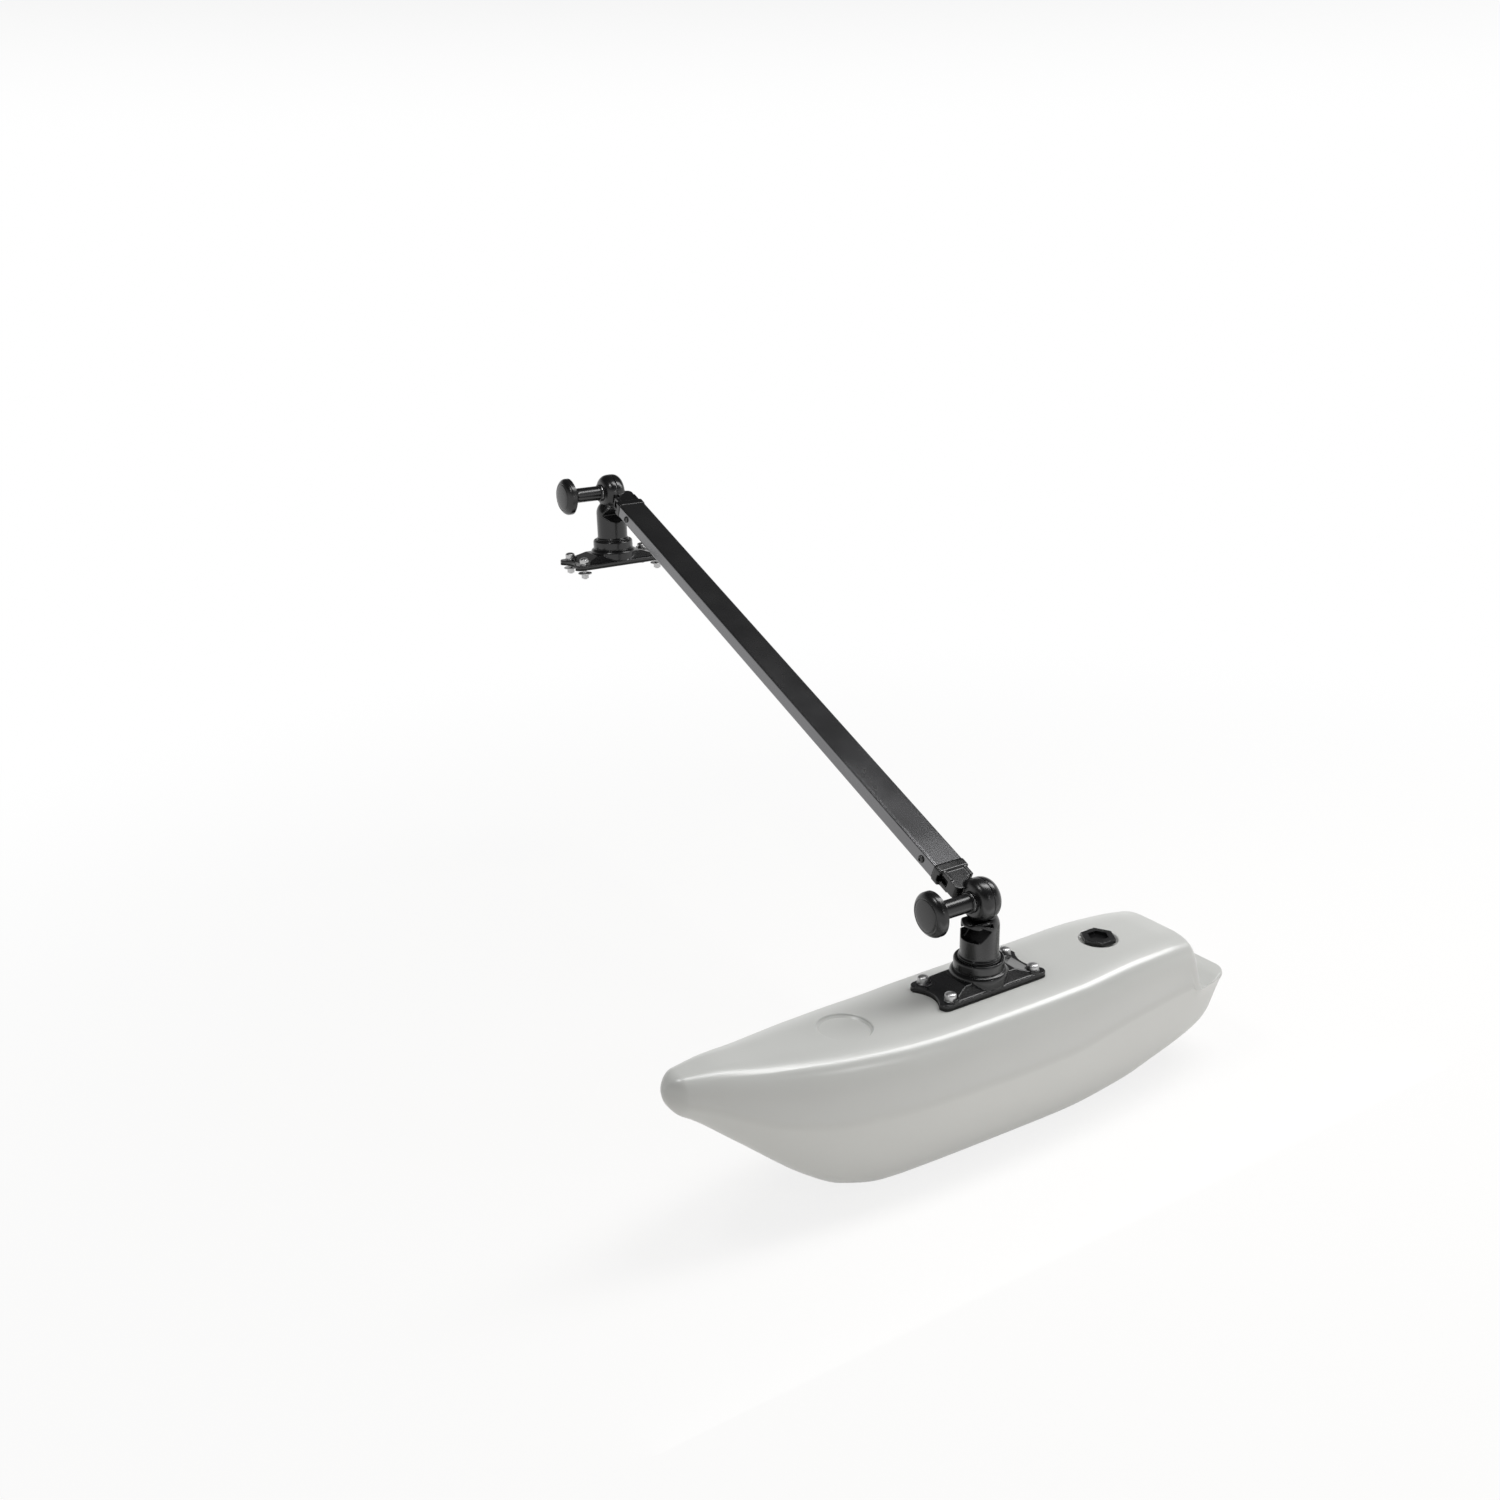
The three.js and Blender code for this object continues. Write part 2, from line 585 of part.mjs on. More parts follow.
function plateOutline(inset = 0) {
  const x = PLATE_LENGTH / 2 - inset;
  const y = PLATE_WIDTH / 2 - inset;
  const r = PLATE_CORNER;
  const waist = x - 2 * PLATE_WAIST;
  const shape = new THREE.Shape();
  shape.moveTo(-x + r, -y);
  shape.lineTo(x - r, -y);
  shape.quadraticCurveTo(x, -y, x, -y + r);
  shape.quadraticCurveTo(waist, 0, x, y - r);
  shape.quadraticCurveTo(x, y, x - r, y);
  shape.lineTo(-x + r, y);
  shape.quadraticCurveTo(-x, y, -x, y - r);
  shape.quadraticCurveTo(-waist, 0, -x, -y + r);
  shape.quadraticCurveTo(-x, -y, -x + r, -y);
  return shape;
}

const boltHoles = (from, to) => BOLT_PLACES.map(([, x, y]) =>
  rod(BOLT_HOLE_RADIUS, from - OVERRUN, to + OVERRUN).translate(x, y, 0));

const pad = () => cut(extruded(plateOutline(), 0, PAD_THICKNESS), ...boltHoles(0, PAD_THICKNESS));

// Raised rim round a bolt head, open towards the plate's end
function boltRim() {
  const outer = RIM_RADIUS + RIM_WIDTH;
  const shape = new THREE.Shape();
  shape.absarc(0, 0, outer, Math.PI / 2, 1.5 * Math.PI);
  shape.lineTo(RIM_WIDTH, -outer);
  shape.lineTo(RIM_WIDTH, -RIM_RADIUS);
  shape.lineTo(0, -RIM_RADIUS);
  shape.absarc(0, 0, RIM_RADIUS, 1.5 * Math.PI, Math.PI / 2, true);
  shape.lineTo(RIM_WIDTH, RIM_RADIUS);
  shape.lineTo(RIM_WIDTH, outer);
  return extruded(shape, PLATE_THICKNESS - FIT, PLATE_THICKNESS + RIM_HEIGHT, 0, CORNER_STEPS);
}

// Seat of a bolt, open towards the plate's end
function boltSeat(x, y) {
  const height = UPPER_TIER_TOP - PLATE_THICKNESS;
  const way = new THREE.BoxGeometry(BOLT_END_INSET + OVERRUN, 2 * RIM_RADIUS, height)
    .translate(x + (Math.sign(x) * (BOLT_END_INSET + OVERRUN)) / 2, y,
      PLATE_THICKNESS + height / 2);
  return [rod(RIM_RADIUS, PLATE_THICKNESS, UPPER_TIER_TOP).translate(x, y, 0), way];
}

function basePlate() {
  const base = PLATE_THICKNESS - FIT;
  const bore = SPIGOT_RADIUS + FIT;
  const groove = POST_FOOT_RADIUS + FIT;
  const hub = turned([
    [0, base], [LOWER_TIER_RADIUS, base],
    ...quarter(LOWER_TIER_RADIUS, LOWER_TIER_TOP - TIER_ROUND,
      LOWER_TIER_RADIUS - TIER_ROUND, LOWER_TIER_TOP, EDGE_STEPS),
    [UPPER_TIER_RADIUS - TIER_ROUND / 2, LOWER_TIER_TOP],
    [UPPER_TIER_RADIUS, LOWER_TIER_TOP + TIER_ROUND / 2],
    ...quarter(UPPER_TIER_RADIUS, UPPER_TIER_TOP - TIER_ROUND,
      UPPER_TIER_RADIUS - TIER_ROUND, UPPER_TIER_TOP, EDGE_STEPS),
    [0, UPPER_TIER_TOP],
  ]);
  const saddleWidth = PLATE_WIDTH - 2 * SADDLE_EDGE;
  const saddle = frustum(
    [SADDLE_LENGTH, saddleWidth],
    [SADDLE_LENGTH - 2 * SADDLE_END_RAKE, saddleWidth - 2 * SADDLE_RAKE],
    base, PLATE_THICKNESS + SADDLE_HEIGHT);
  const rims = BOLT_PLACES.map(([, x, y]) => {
    const rim = boltRim();
    if (x < 0) rim.rotateZ(Math.PI);
    return rim.translate(x, y, 0);
  });
  const body = joined(extruded(plateOutline(), 0, PLATE_THICKNESS, PLATE_BEVEL),
    saddle, ...rims, hub);
  return cut(body, ...BOLT_PLACES.flatMap(([, x, y]) => boltSeat(x, y)), ...boltHoles(0, PLATE_THICKNESS),
    rod(bore, -OVERRUN, UPPER_TIER_TOP + OVERRUN, ROUND_SIDES),
    rod(SWIVEL_RECESS_RADIUS, -OVERRUN, SWIVEL_RECESS_DEPTH, ROUND_SIDES),
    ring(groove, groove + COLLAR_GROOVE_WIDTH - FIT, UPPER_TIER_TOP - COLLAR_GROOVE_DEPTH,
      UPPER_TIER_TOP + OVERRUN, ROUND_SIDES));
}

// Domed bolt: its head's underside is at z = 0 and its shank runs down
function bolt(length) {
  return turned([
    [0, -length], [BOLT_RADIUS, -length], [BOLT_RADIUS, 0], [BOLT_HEAD_RADIUS, 0],
    ...quarter(BOLT_HEAD_RADIUS, BOLT_HEAD_HEIGHT - BOLT_HEAD_CROWN, 0, BOLT_HEAD_HEIGHT),
  ], HARDWARE_SIDES);
}

const washer = (radius, bore, thickness) => ring(bore, radius, 0, thickness, HARDWARE_SIDES);

const nut = (flats, bore, height) =>
  cut(hexBar(flats, 0, height), rod(bore, -OVERRUN, height + OVERRUN));

const insert = () => ring(BOLT_HOLE_RADIUS, INSERT_RADIUS, -INSERT_LENGTH, 0, HARDWARE_SIDES);

// Post and its swivel

// Triangular prism that runs along Y; corners are [x, z]
function prism(corners, from, to) {
  const shape = new THREE.Shape(corners.map(([x, z]) => new THREE.Vector2(x, z)));
  const body = new THREE.ExtrudeGeometry(shape, { depth: to - from, bevelEnabled: false });
  return body.rotateX(Math.PI / 2).translate(0, to, 0);
}

// Half a knuckle barrel, from its flat face at x = 0 to its rounded end at x = width
function barrelHalf(radius, width) {
  const profile = [[0, 0], [radius, 0],
    ...quarter(radius, width - EYE_ROUND, radius - EYE_ROUND, width), [0, width]];
  return alongX(turned(profile));
}

// Three pockets in a zigzag between ribs, on the lapped side of the post and on both sides of a
// web in its middle plane
function pockets(bottom, top) {
  const edge = POST_RADIUS + OVERRUN;
  const middle = (bottom + top) / 2;
  const prisms = [
    [[-edge, bottom + POCKET_RIB], [-edge, top - POCKET_RIB], [-POCKET_FLOOR - POCKET_RIB, middle]],
    [[POCKET_RIB - edge, top], [-POCKET_FLOOR, top], [-POCKET_FLOOR, middle + POCKET_RIB]],
    [[POCKET_RIB - edge, bottom], [-POCKET_FLOOR, bottom], [-POCKET_FLOOR, middle - POCKET_RIB]],
  ];
  return prisms.flatMap((corners) =>
    [prism(corners, -edge, -POCKET_WEB / 2), prism(corners, POCKET_WEB / 2, edge)]);
}

// The post stands on z = 0 of its plate. Its head is on the +X side, and the lap is open on -X.
function post(nutPocket) {
  const foot = UPPER_TIER_TOP + FIT;
  const spring = HINGE_HEIGHT - POST_SHOULDER;
  const column = turned([
    [0, SPIGOT_END], [SPIGOT_RADIUS, SPIGOT_END], [SPIGOT_RADIUS, foot], [POST_FOOT_RADIUS, foot],
    [POST_FOOT_RADIUS, foot + POST_FOOT_HEIGHT / 2], [POST_RADIUS, foot + POST_FOOT_HEIGHT],
    ...quarter(POST_RADIUS, spring, 0, spring + POST_DOME_HEIGHT, ARC_STEPS + 2),
  ]);
  const head = barrelHalf(EYE_RADIUS, EYE_WIDTH).translate(0, 0, HINGE_HEIGHT);
  const side = 2 * POST_RADIUS;
  const lapRadius = EYE_RADIUS + LAP_CLEARANCE;
  const lapHeight = STEM_HEIGHT / 2 + STEM_RIB_HEIGHT + 2 * LAP_CLEARANCE;
  const round = alongX(rod(lapRadius, -side, 0, ROUND_SIDES)).translate(0, 0, HINGE_HEIGHT);
  const wedge = (width, x, y) => new THREE.BoxGeometry(width, side, lapHeight + lapRadius)
    .translate(x, y + side / 2, (lapRadius - lapHeight) / 2)
    .rotateX(THREE.MathUtils.degToRad(-LAP_DROP)).translate(0, 0, HINGE_HEIGHT);
  const slope = wedge(side, -side / 2, 0);
  const relief = wedge(2 * side, 0, lapRadius);
  const cap = new THREE.BoxGeometry(side, 2 * side, side)
    .translate(-side / 2, 0, side / 2 + HINGE_HEIGHT - LAP_HORN);
  const lapFloor = HINGE_HEIGHT - EYE_RADIUS - LAP_CLEARANCE;
  const discSeat = alongX(rod(DISC_RADIUS + FIT, -OVERRUN, SEAT_DEPTH, ROUND_SIDES));
  const bore = alongX(rod(STUD_RADIUS + FIT, -side, side));
  const nutSeat = alongX(hexBar(HINGE_NUT_FLATS + 2 * FIT,
    EYE_WIDTH - HINGE_NUT_HEIGHT - FIT, EYE_WIDTH + OVERRUN));
  const swivel = rod(SWIVEL_BOLT_RADIUS + FIT, -OVERRUN, SPIGOT_END + SWIVEL_BOLT_GRIP + FIT);
  const spotFace = alongX(rod(CLAMP_WASHER_RADIUS + LAP_CLEARANCE, EYE_WIDTH, side, ROUND_SIDES / 2));
  const hinge = [discSeat, bore, spotFace, ...(nutPocket ? [nutSeat] : [])]
    .map((tool) => tool.translate(0, 0, HINGE_HEIGHT));
  const base = foot + POST_FOOT_HEIGHT + POCKET_BASE;
  return cut(joined(column, head), round, slope, relief, cap, ...hinge, swivel,
    ...pockets(base, lapFloor - POCKET_RIB));
}

function swivelBolt() {
  return joined(hexBar(SWIVEL_BOLT_FLATS, -SWIVEL_BOLT_HEAD, 0),
    rod(SWIVEL_BOLT_RADIUS, -FIT, SWIVEL_BOLT_GRIP));
}

// Arm

function tube() {
  const outline = roundedRectangle(TUBE_WIDTH, TUBE_HEIGHT, TUBE_CORNER);
  const hollow = roundedRectangle(TUBE_WIDTH - 2 * TUBE_WALL, TUBE_HEIGHT - 2 * TUBE_WALL,
    TUBE_CORNER - TUBE_WALL);
  const length = ARM_LENGTH - 2 * TUBE_START;
  const bar = extruded(outline, 0, length, 0, CORNER_STEPS);
  const bore = extruded(hollow, -OVERRUN, length + OVERRUN, 0, CORNER_STEPS);
  const holes = [TUBE_SCREW_INSET, length - TUBE_SCREW_INSET].map((z) =>
    alongX(rod(TUBE_SCREW_RADIUS + FIT, -TUBE_WIDTH, 0)).translate(0, 0, z));
  return cut(bar, bore, ...holes).rotateX(Math.PI / 2);
}

// Moulded end: eye about X at the origin, stem, collar and the plug that runs into the tube
// along -Y. The eye's clamped face is on the -X side; the screw enters from the given side of X.
function armEnd(nutPocket, screwSide) {
  const eye = barrelHalf(EYE_RADIUS, EYE_THICKNESS).translate(-EYE_THICKNESS / 2, 0, 0);
  const collarStart = EYE_RADIUS + STEM_LENGTH;
  const narrow = EYE_THICKNESS / 2;
  const wide = TUBE_WIDTH / 2 - TUBE_CORNER;
  const clear = EYE_RADIUS + LAP_CLEARANCE;
  const plan = new THREE.Shape();
  plan.moveTo(-narrow, 0);
  plan.lineTo(-narrow, -clear);
  plan.quadraticCurveTo(-narrow - (wide - narrow) / 2, -clear - STEM_LENGTH / 3, -wide, -collarStart);
  plan.lineTo(-wide, -collarStart - COLLAR_LENGTH / 2);
  plan.lineTo(wide, -collarStart - COLLAR_LENGTH / 2);
  plan.lineTo(wide, -collarStart);
  plan.quadraticCurveTo(narrow + (wide - narrow) / 2, -clear - STEM_LENGTH / 3, narrow, -clear);
  plan.lineTo(narrow, 0);
  const stem = extruded(plan, -STEM_HEIGHT / 2, STEM_HEIGHT / 2, STEM_RIB_HEIGHT);
  const ribs = [-1, 1].map((side) => new THREE.BoxGeometry(
    STEM_RIB_WIDTH, STEM_LENGTH + COLLAR_LENGTH, STEM_HEIGHT + 2 * STEM_RIB_HEIGHT)
    .translate(side * (narrow - STEM_RIB_WIDTH / 2), -collarStart + STEM_LENGTH / 2
      - COLLAR_LENGTH / 2, 0));
  const collar = extruded(
    roundedRectangle(TUBE_WIDTH + 2 * COLLAR_LIP, TUBE_HEIGHT + 2 * COLLAR_LIP, TUBE_CORNER),
    collarStart, collarStart + COLLAR_LENGTH - FIT, COLLAR_BEVEL, CORNER_STEPS)
    .rotateX(Math.PI / 2);
  const inside = TUBE_WALL + FIT;
  const plug = extruded(
    roundedRectangle(TUBE_WIDTH - 2 * inside, TUBE_HEIGHT - 2 * inside, TUBE_CORNER - TUBE_WALL),
    collarStart + COLLAR_LENGTH / 2, TUBE_START + PLUG_LENGTH, 0, CORNER_STEPS)
    .rotateX(Math.PI / 2);
  const slots = [-1, 1].map((side) => new THREE.BoxGeometry(
    2 * STEM_SLOT_DEPTH, STEM_LENGTH, STEM_SLOT_HEIGHT)
    .rotateZ(side * Math.atan2(wide - narrow, STEM_LENGTH))
    .translate(side * (narrow + wide) / 2, -collarStart + STEM_LENGTH / 2 - STEM_SLOT_INSET / 2, 0));
  const bore = alongX(rod(STUD_RADIUS + FIT, -TUBE_WIDTH, TUBE_WIDTH));
  const discSeat = alongX(rod(DISC_RADIUS + FIT, -OVERRUN, SEAT_DEPTH, ROUND_SIDES))
    .translate(-EYE_THICKNESS / 2, 0, 0);
  const nutSeat = alongX(hexBar(HINGE_NUT_FLATS + 2 * FIT,
    EYE_THICKNESS / 2 - HINGE_NUT_HEIGHT - FIT, EYE_WIDTH));
  const screwTip = TUBE_WIDTH / 2 - TUBE_SCREW_LENGTH - FIT;
  const screwHole = alongX(rod(TUBE_SCREW_RADIUS + FIT, screwTip, TUBE_WIDTH))
    .rotateZ(screwSide > 0 ? 0 : Math.PI).translate(0, -TUBE_START - TUBE_SCREW_INSET, 0);
  return cut(joined(eye, stem, ...ribs, collar, plug), ...slots, bore, discSeat, screwHole,
    ...(nutPocket ? [nutSeat] : []));
}

// Pan-head screw along +X with its head's underside at x = 0
function tubeScrew() {
  return alongX(turned([
    ...quarter(TUBE_SCREW_HEAD_RADIUS, 0, 0, -TUBE_SCREW_HEAD_HEIGHT, EDGE_STEPS).reverse(),
    [TUBE_SCREW_RADIUS, 0], [TUBE_SCREW_RADIUS, TUBE_SCREW_LENGTH], [0, TUBE_SCREW_LENGTH],
  ], SMALL_SIDES));
}

// Hinge clamp: all of it lies along X about the hinge axis, with x = 0 at the knuckle's seam

// Mushroom knob on the -X side
function knob() {
  const hubStart = EYE_WIDTH + CLAMP_WASHER_THICKNESS + 2 * FIT;
  const rimEnd = KNOB_REACH - KNOB_CROWN;
  const rimStart = rimEnd - KNOB_RIM;
  const coneStart = rimStart - KNOB_CONE;
  const socket = STUD_RADIUS + FIT;
  const socketEnd = hubStart + STUD_GRIP + FIT;
  const profile = [
    [socket, hubStart], [KNOB_HUB_RADIUS + KNOB_HUB_FLARE, hubStart],
    [KNOB_HUB_RADIUS, hubStart + KNOB_HUB_FLARE], [KNOB_HUB_RADIUS, coneStart],
    ...quarter(KNOB_HUB_RADIUS, coneStart, KNOB_RADIUS - KNOB_GROOVE, rimStart),
    [KNOB_RADIUS - KNOB_GROOVE, rimStart + KNOB_GROOVE], [KNOB_RADIUS, rimStart + KNOB_GROOVE],
    ...quarter(KNOB_RADIUS, rimEnd, 0, KNOB_REACH, ARC_STEPS + 1),
    [0, socketEnd], [socket, socketEnd], [socket, hubStart],
  ];
  return alongX(turned(profile, ROUND_SIDES)).rotateZ(Math.PI);
}

function stud() {
  const start = EYE_WIDTH + CLAMP_WASHER_THICKNESS + 2 * FIT + STUD_GRIP;
  return alongX(rod(STUD_RADIUS, -start, EYE_WIDTH - 2 * FIT));
}

const clampWasher = () => alongX(
  ring(STUD_RADIUS + FIT, CLAMP_WASHER_RADIUS, 0, CLAMP_WASHER_THICKNESS, ROUND_SIDES / 2))
  .translate(-EYE_WIDTH - CLAMP_WASHER_THICKNESS - FIT, 0, 0);

const frictionDisc = () => alongX(ring(STUD_RADIUS + FIT, DISC_RADIUS,
  -DISC_THICKNESS / 2, DISC_THICKNESS / 2, ROUND_SIDES));

const hingeNut = () => alongX(nut(HINGE_NUT_FLATS, STUD_RADIUS + FIT, HINGE_NUT_HEIGHT));

// Assembly

function mesh(name, geometry, finish, place = [0, 0, 0]) {
  const shape = outward(geometry);
  shape.computeVertexNormals();
  const piece = new THREE.Mesh(shape, finish.clone());
  piece.name = name;
  piece.position.set(...place);
  return piece;
}

function groupOf(place, ...pieces) {
  const group = new THREE.Group();
  group.position.set(...place);
  group.add(...pieces);
  return group;
}

// Pad, plate and bolts of one base, standing on z = 0
function base(prefix, boltLength) {
  const seat = PAD_THICKNESS + PLATE_THICKNESS;
  return [
    mesh(`${prefix}_base_pad`, pad(), RUBBER),
    mesh(`${prefix}_base_plate`, basePlate(), BLACK_NYLON, [0, 0, PAD_THICKNESS]),
    ...BOLT_PLACES.flatMap(([corner, x, y]) => [
      mesh(`${prefix}_washer_${corner}`, washer(WASHER_RADIUS, BOLT_HOLE_RADIUS, WASHER_THICKNESS),
        STEEL, [x, y, seat]),
      mesh(`${prefix}_bolt_${corner}`, bolt(boltLength), STEEL, [x, y, seat + WASHER_THICKNESS]),
    ]),
  ];
}

// Post with the swivel parts under it; z = 0 is the underside of the plate
function postSet(prefix, nutPocket) {
  const washerTop = SPIGOT_END - FIT;
  const headTop = washerTop - SWIVEL_WASHER_THICKNESS - FIT;
  return [
    mesh(`${prefix}_post`, post(nutPocket), BLACK_NYLON),
    mesh(`${prefix}_swivel_washer`, ring(SWIVEL_BOLT_RADIUS + FIT, SWIVEL_RECESS_RADIUS - FIT,
      washerTop - SWIVEL_WASHER_THICKNESS, washerTop, ROUND_SIDES / 2), STEEL),
    mesh(`${prefix}_swivel_bolt`, swivelBolt(), STEEL, [0, 0, headTop]),
  ];
}

const outrigger = new THREE.Group();
outrigger.name = 'kayak_outrigger';

const seat = PAD_THICKNESS + PLATE_THICKNESS + WASHER_THICKNESS;
const underDeck = -DECK_GRIP - WASHER_THICKNESS - LOCKNUT_HEIGHT;
const upperBase = groupOf([0, 0, 0], ...base('upper', seat - underDeck + BOLT_TAIL));
for (const [corner, x, y] of BOLT_PLACES) {
  upperBase.add(
    mesh(`upper_backing_washer_${corner}`,
      washer(BACKING_WASHER_RADIUS, BOLT_HOLE_RADIUS, WASHER_THICKNESS), STEEL,
      [x, y, -DECK_GRIP - WASHER_THICKNESS]),
    mesh(`upper_locknut_${corner}`, nut(LOCKNUT_FLATS, BOLT_HOLE_RADIUS, LOCKNUT_HEIGHT), STEEL,
      [x, y, underDeck]),
  );
}

// The upper post is turned so that its head is on the bow side
const upperPost = groupOf([0, 0, PAD_THICKNESS], ...postSet('upper', false));
upperPost.rotation.z = Math.PI;

// Arm: local -Y runs from the upper hinge to the lower one, and both eyes share the tube's plane
const screwX = -TUBE_WIDTH / 2 - FIT;
const screwY = -TUBE_START - TUBE_SCREW_INSET;
const arm = groupOf([HALF, 0, PAD_THICKNESS + HINGE_HEIGHT],
  mesh('arm_tube', tube(), BLACK_TUBE, [0, -TUBE_START, 0]),
  mesh('arm_upper_end', armEnd(true, -1), BLACK_NYLON),
  mesh('arm_upper_hinge_nut', hingeNut(), STEEL,
    [EYE_THICKNESS / 2 - HINGE_NUT_HEIGHT, 0, 0]),
  mesh('arm_upper_screw', tubeScrew(), STEEL, [screwX, screwY, 0]),
  mesh('upper_friction_disc', frictionDisc(), RUBBER, [-HALF + FIT / 2, 0, 0]),
  mesh('arm_lower_screw', tubeScrew(), STEEL, [screwX, -ARM_LENGTH - screwY, 0]),
  mesh('lower_friction_disc', frictionDisc(), RUBBER, [HALF - FIT / 2, -ARM_LENGTH, 0]),
);
const armLowerEnd = mesh('arm_lower_end', armEnd(false, 1), BLACK_NYLON, [0, -ARM_LENGTH, 0]);
armLowerEnd.rotation.z = Math.PI;
arm.add(armLowerEnd);
arm.rotation.x = THREE.MathUtils.degToRad(ARM_SLOPE);

// One clamp knob with its stud and washer, seam plane at x = 0
const clamp = (prefix, place) => groupOf(place,
  mesh(`${prefix}_knob`, knob(), BLACK_NYLON),
  mesh(`${prefix}_knob_stud`, stud(), STEEL),
  mesh(`${prefix}_knob_washer`, clampWasher(), STEEL));
const upperClamp = clamp('upper', [0, 0, PAD_THICKNESS + HINGE_HEIGHT]);

const slope = THREE.MathUtils.degToRad(ARM_SLOPE);
const floatPlace = [EYE_WIDTH, -ARM_LENGTH * Math.cos(slope), -ARM_LENGTH * Math.sin(slope)];
const lowerClamp = clamp('lower',
  [floatPlace[0], floatPlace[1], floatPlace[2] + PAD_THICKNESS + HINGE_HEIGHT]);

const lowerPost = groupOf([0, 0, PAD_THICKNESS], ...postSet('lower', true),
  mesh('lower_hinge_nut', hingeNut(), STEEL, [EYE_WIDTH - HINGE_NUT_HEIGHT, 0, HINGE_HEIGHT]));

const drainTop = portHeight(PORT_SPACING, DRAIN_PORT_RADIUS) - DRAIN_PORT_DEPTH;
const float = groupOf(floatPlace,
  mesh('float_shell', floatShell(), POLYETHYLENE),
  ...base('lower', seat + INSERT_LENGTH - FIT),
  ...BOLT_PLACES.map(([corner, x, y]) => mesh(`float_insert_${corner}`, insert(), BRASS, [x, y, 0])),
  mesh('drain_seal', drainSeal(), RUBBER, [PORT_SPACING, 0, drainTop]),
  mesh('drain_plug', drainPlug(), BLACK_NYLON, [PORT_SPACING, 0, drainTop]),
  lowerPost,
);

outrigger.add(upperBase, upperPost, arm, upperClamp, lowerClamp, float);

export default outrigger;
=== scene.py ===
"""Kayak outrigger: the looks of the float, its folding arm, knuckles, base plates and clamp knobs.

Metres, +X to the stern, +Y inboard to the boat, +Z up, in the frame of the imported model.
"""
import json
import math

import bmesh
import bpy
from bpy.props import FloatProperty, FloatVectorProperty, PointerProperty
from bpy.types import Operator, Panel, PropertyGroup
from mathutils import Matrix, Vector


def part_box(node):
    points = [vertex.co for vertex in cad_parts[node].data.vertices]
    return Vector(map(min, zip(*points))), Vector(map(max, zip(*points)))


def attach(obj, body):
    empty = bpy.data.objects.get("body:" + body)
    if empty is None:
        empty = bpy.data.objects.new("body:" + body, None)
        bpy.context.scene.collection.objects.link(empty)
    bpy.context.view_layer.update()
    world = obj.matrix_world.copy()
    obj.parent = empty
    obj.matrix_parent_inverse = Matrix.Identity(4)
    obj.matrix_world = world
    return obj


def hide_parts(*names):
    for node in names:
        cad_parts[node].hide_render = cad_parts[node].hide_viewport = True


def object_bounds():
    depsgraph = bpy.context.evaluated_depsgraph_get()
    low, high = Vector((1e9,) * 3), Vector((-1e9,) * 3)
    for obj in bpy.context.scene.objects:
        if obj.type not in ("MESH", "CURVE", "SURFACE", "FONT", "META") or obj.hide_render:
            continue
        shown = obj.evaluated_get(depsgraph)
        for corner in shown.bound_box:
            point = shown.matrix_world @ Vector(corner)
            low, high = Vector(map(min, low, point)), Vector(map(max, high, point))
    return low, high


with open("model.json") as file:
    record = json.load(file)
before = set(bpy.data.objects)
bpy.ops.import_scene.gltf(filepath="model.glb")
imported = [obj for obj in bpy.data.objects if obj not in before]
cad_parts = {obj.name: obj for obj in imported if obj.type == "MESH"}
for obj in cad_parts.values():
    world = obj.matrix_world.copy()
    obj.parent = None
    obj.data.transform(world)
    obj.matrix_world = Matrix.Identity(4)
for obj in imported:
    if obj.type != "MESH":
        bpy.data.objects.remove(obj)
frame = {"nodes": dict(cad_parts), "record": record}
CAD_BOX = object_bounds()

bl_info = {
    "name": "Kayak outrigger",
    "version": (1, 0, 0),
    "blender": (4, 5, 0),
    "location": "3D View > Sidebar > Outrigger",
    "description": "Builds the finished pieces of a kayak outrigger around its packed model",
    "category": "Object",
}

MM = 0.001
BASE_BODY = {"upper": "upper_base", "lower": "float"}
CORNERS = {
    "bow_inboard": (-1, 1),
    "bow_outboard": (-1, -1),
    "stern_inboard": (1, 1),
    "stern_outboard": (1, -1),
}


def node_centre(name):
    low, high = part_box(name)
    return (low + high) / 2


def node_size(name):
    low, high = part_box(name)
    return high - low


def base_point(prefix):
    """Centre of the underside of a base pad."""
    low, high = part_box(f"{prefix}_base_pad")
    return Vector(((low.x + high.x) / 2, (low.y + high.y) / 2, low.z))


BASE = {end: base_point(end) for end in BASE_BODY}
HINGE = {end: Vector((BASE[end].x, BASE[end].y, node_centre(f"{end}_knob_stud").z)) for end in BASE}
PLATE = node_size("upper_base_plate")
PAD = node_size("upper_base_pad").z
HINGE_HEIGHT = HINGE["upper"].z - BASE["upper"].z - PAD
BOLT_SPREAD = (node_centre("upper_bolt_stern_inboard") - node_centre("upper_bolt_bow_outboard")) / 2
ARM_X = node_centre("arm_tube").x
ARM_LINE = HINGE["lower"] - HINGE["upper"]
ARM_LENGTH = math.hypot(ARM_LINE.y, ARM_LINE.z)
ARM_SLOPE = math.atan2(-ARM_LINE.z, -ARM_LINE.y)
FLOAT_LOW, FLOAT_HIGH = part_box("float_shell")
FLOAT_LENGTH = FLOAT_HIGH.x - FLOAT_LOW.x
PORT_X = node_centre("drain_plug").x - BASE["lower"].x


def number(name, description, value, **how):
    return FloatProperty(name=name, description=description, default=value, **how)


def size(name, description, millimetres):
    return number(name, description, millimetres * MM, unit="LENGTH", precision=5)


def share(name, description, value):
    return number(name, description, value, subtype="FACTOR", min=0, max=1)


def degrees(name, description, value):
    return number(name, description, math.radians(value), subtype="ANGLE", unit="ROTATION")


def colour(name, description, value):
    return FloatVectorProperty(name=name, description=description, default=value,
                               subtype="COLOR", min=0, max=1)


